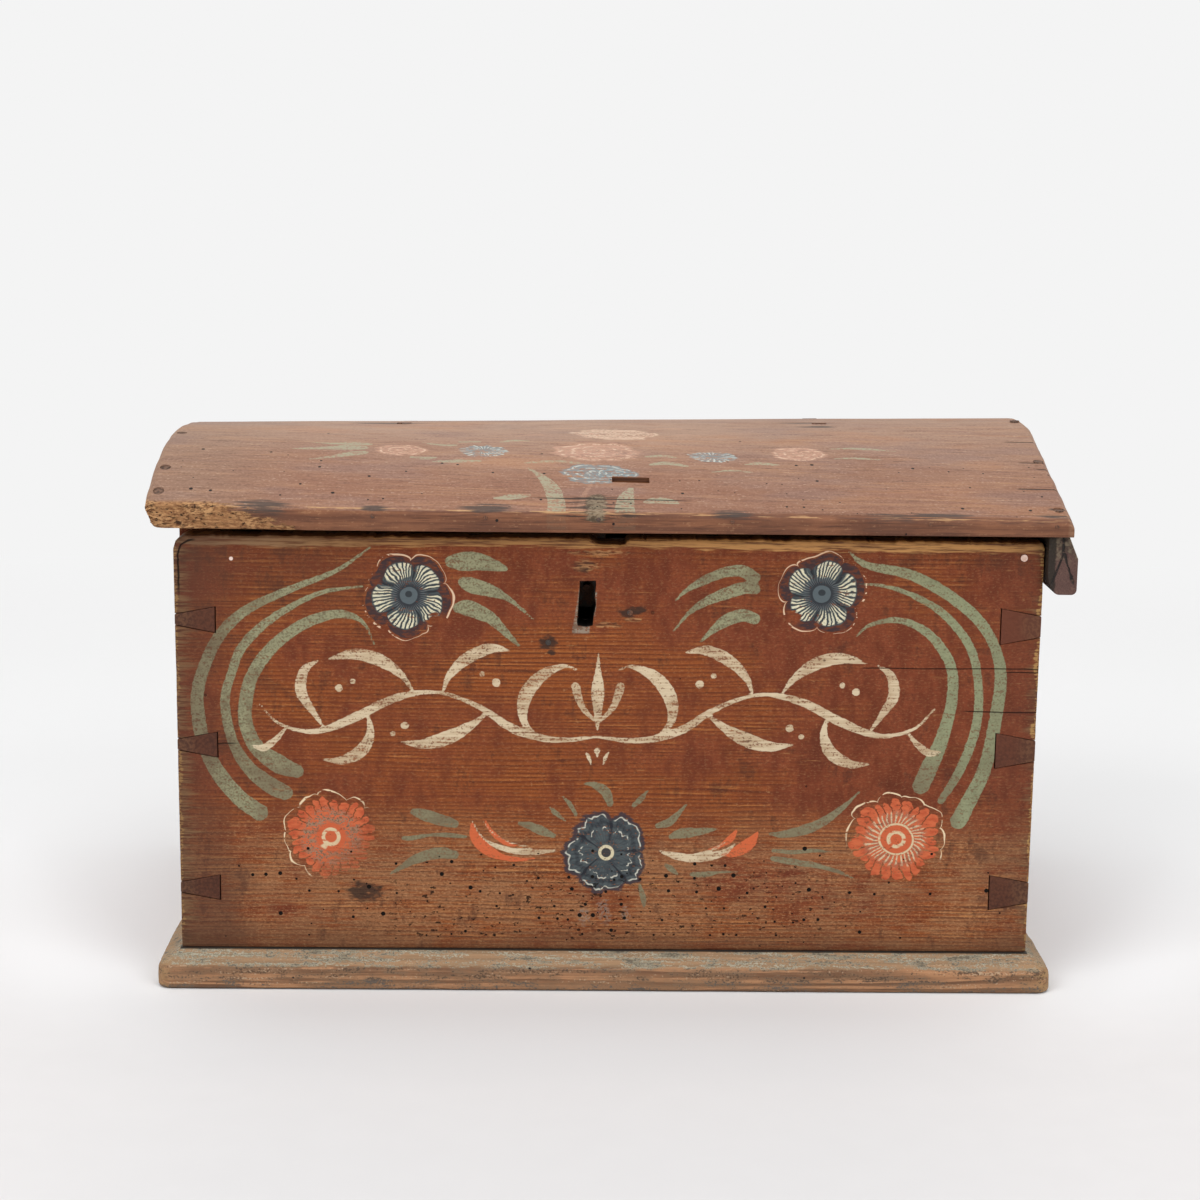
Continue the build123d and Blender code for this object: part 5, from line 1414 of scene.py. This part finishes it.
sheet = make_piece("backdrop", *backdrop())
material, place = new_material("pale_backdrop")
speck = place.noise(40, 2.0)
across, away, up = place.parts()
# Pale behind the box. Painted light lifts the floor beside the box, where its shadow falls
coats = Coats(speck.blend((222, 220, 220), (226, 224, 224)))
beside = (abs(across) - away * 0.4).step(0.48, 0.36) * away.step(-0.28, -0.08)
coats.lay(beside, (249, 250, 251))
# Painted shadow greys the floor before the box
before = abs(across + 0.03).step(0.34, 0.12) * away.step(-0.12, -0.2)
coats.lay(before * (away.step(-0.32, -0.25) * 0.5 + 0.5), (214, 214, 215))
coats.lay((away + speck * 0.05).step(-0.5, 0.9), (242, 242, 242))
finish_surface(material, coats.colour, speck * 0.1 + 0.8, speck, 0.00001)
# The far wall glows as one even tone for the camera, and lights nothing
wall_tone = {"Color": tint((244, 244, 244)), "Strength": 1.0}
glow = up.node("Emission", {}, wall_tone)
shader = material.node_tree.nodes["Principled BSDF"]
plain = Shade(material.node_tree, shader.outputs[0])
mixed = up.node("MixShader", {}, {0: seen_rays(up) * away.step(0.45, 1.3), 1: plain, 2: glow})
surface = material.node_tree.nodes["Material Output"].inputs["Surface"]
material.node_tree.links.new(mixed.socket, surface)
sheet.data.materials.append(material)


def soft_box(name, place, aim, size, power):
    """A square lamp at a place, aimed at a point."""
    lamp = bpy.data.lights.new(name, "AREA")
    lamp.size = size
    lamp.energy = power
    holder = bpy.data.objects.new(name, lamp)
    bpy.context.scene.collection.objects.link(holder)
    holder.location = place
    holder.rotation_euler = (Vector(aim) - Vector(place)).to_track_quat("-Z", "Y").to_euler()


soft_box("lamp_left", (-2.2, -2.4, 2.6), (0, 0, 0.15), 2.2, 60)
soft_box("lamp_right", (2.2, -2.6, 2.2), (0, 0, 0.15), 2.2, 44)
soft_box("lamp_top", (0.0, -0.3, 3.2), (0, 0, 0.2), 2.4, 40)
world = bpy.data.worlds.new("studio")
bpy.context.scene.world = world
world.use_nodes = True
sky = world.node_tree.nodes["Background"]
sky.inputs["Color"].default_value = (1, 1, 1, 1)
sky.inputs["Strength"].default_value = 0.45
start = Shade(world.node_tree, sky.outputs[0])
pale = start.node("Background", {}, wall_tone)
mixed = start.node("MixShader", {}, {0: seen_rays(start), 1: start, 2: pale})
world.node_tree.links.new(mixed.socket, world.node_tree.nodes["World Output"].inputs["Surface"])
bpy.context.scene.view_settings.view_transform = "Standard"

# The camera's place, its turns in radians, and its focal length in pixels of the frame
camera_place = Vector((-0.0265, -1.462, 0.485))
pitch, yaw, roll = 0.19, -0.016, 0.012
focal_pixels, frame_pixels, film = 2333, 1200, 36.0
ahead = Vector((-np.sin(yaw) * np.cos(pitch), np.cos(yaw) * np.cos(pitch), -np.sin(pitch)))
level = Vector((np.cos(yaw), np.sin(yaw), 0))
upright = level.cross(ahead)
right = level * np.cos(roll) + upright * np.sin(roll)
above = upright * np.cos(roll) - level * np.sin(roll)
lens = bpy.data.cameras.new("camera")
lens.sensor_width = film
lens.lens = film * focal_pixels / frame_pixels
camera = bpy.data.objects.new("camera", lens)
bpy.context.scene.collection.objects.link(camera)
turned = Matrix((right, above, -ahead)).transposed().to_4x4()
camera.matrix_world = Matrix.Translation(camera_place) @ turned
bpy.context.scene.camera = camera
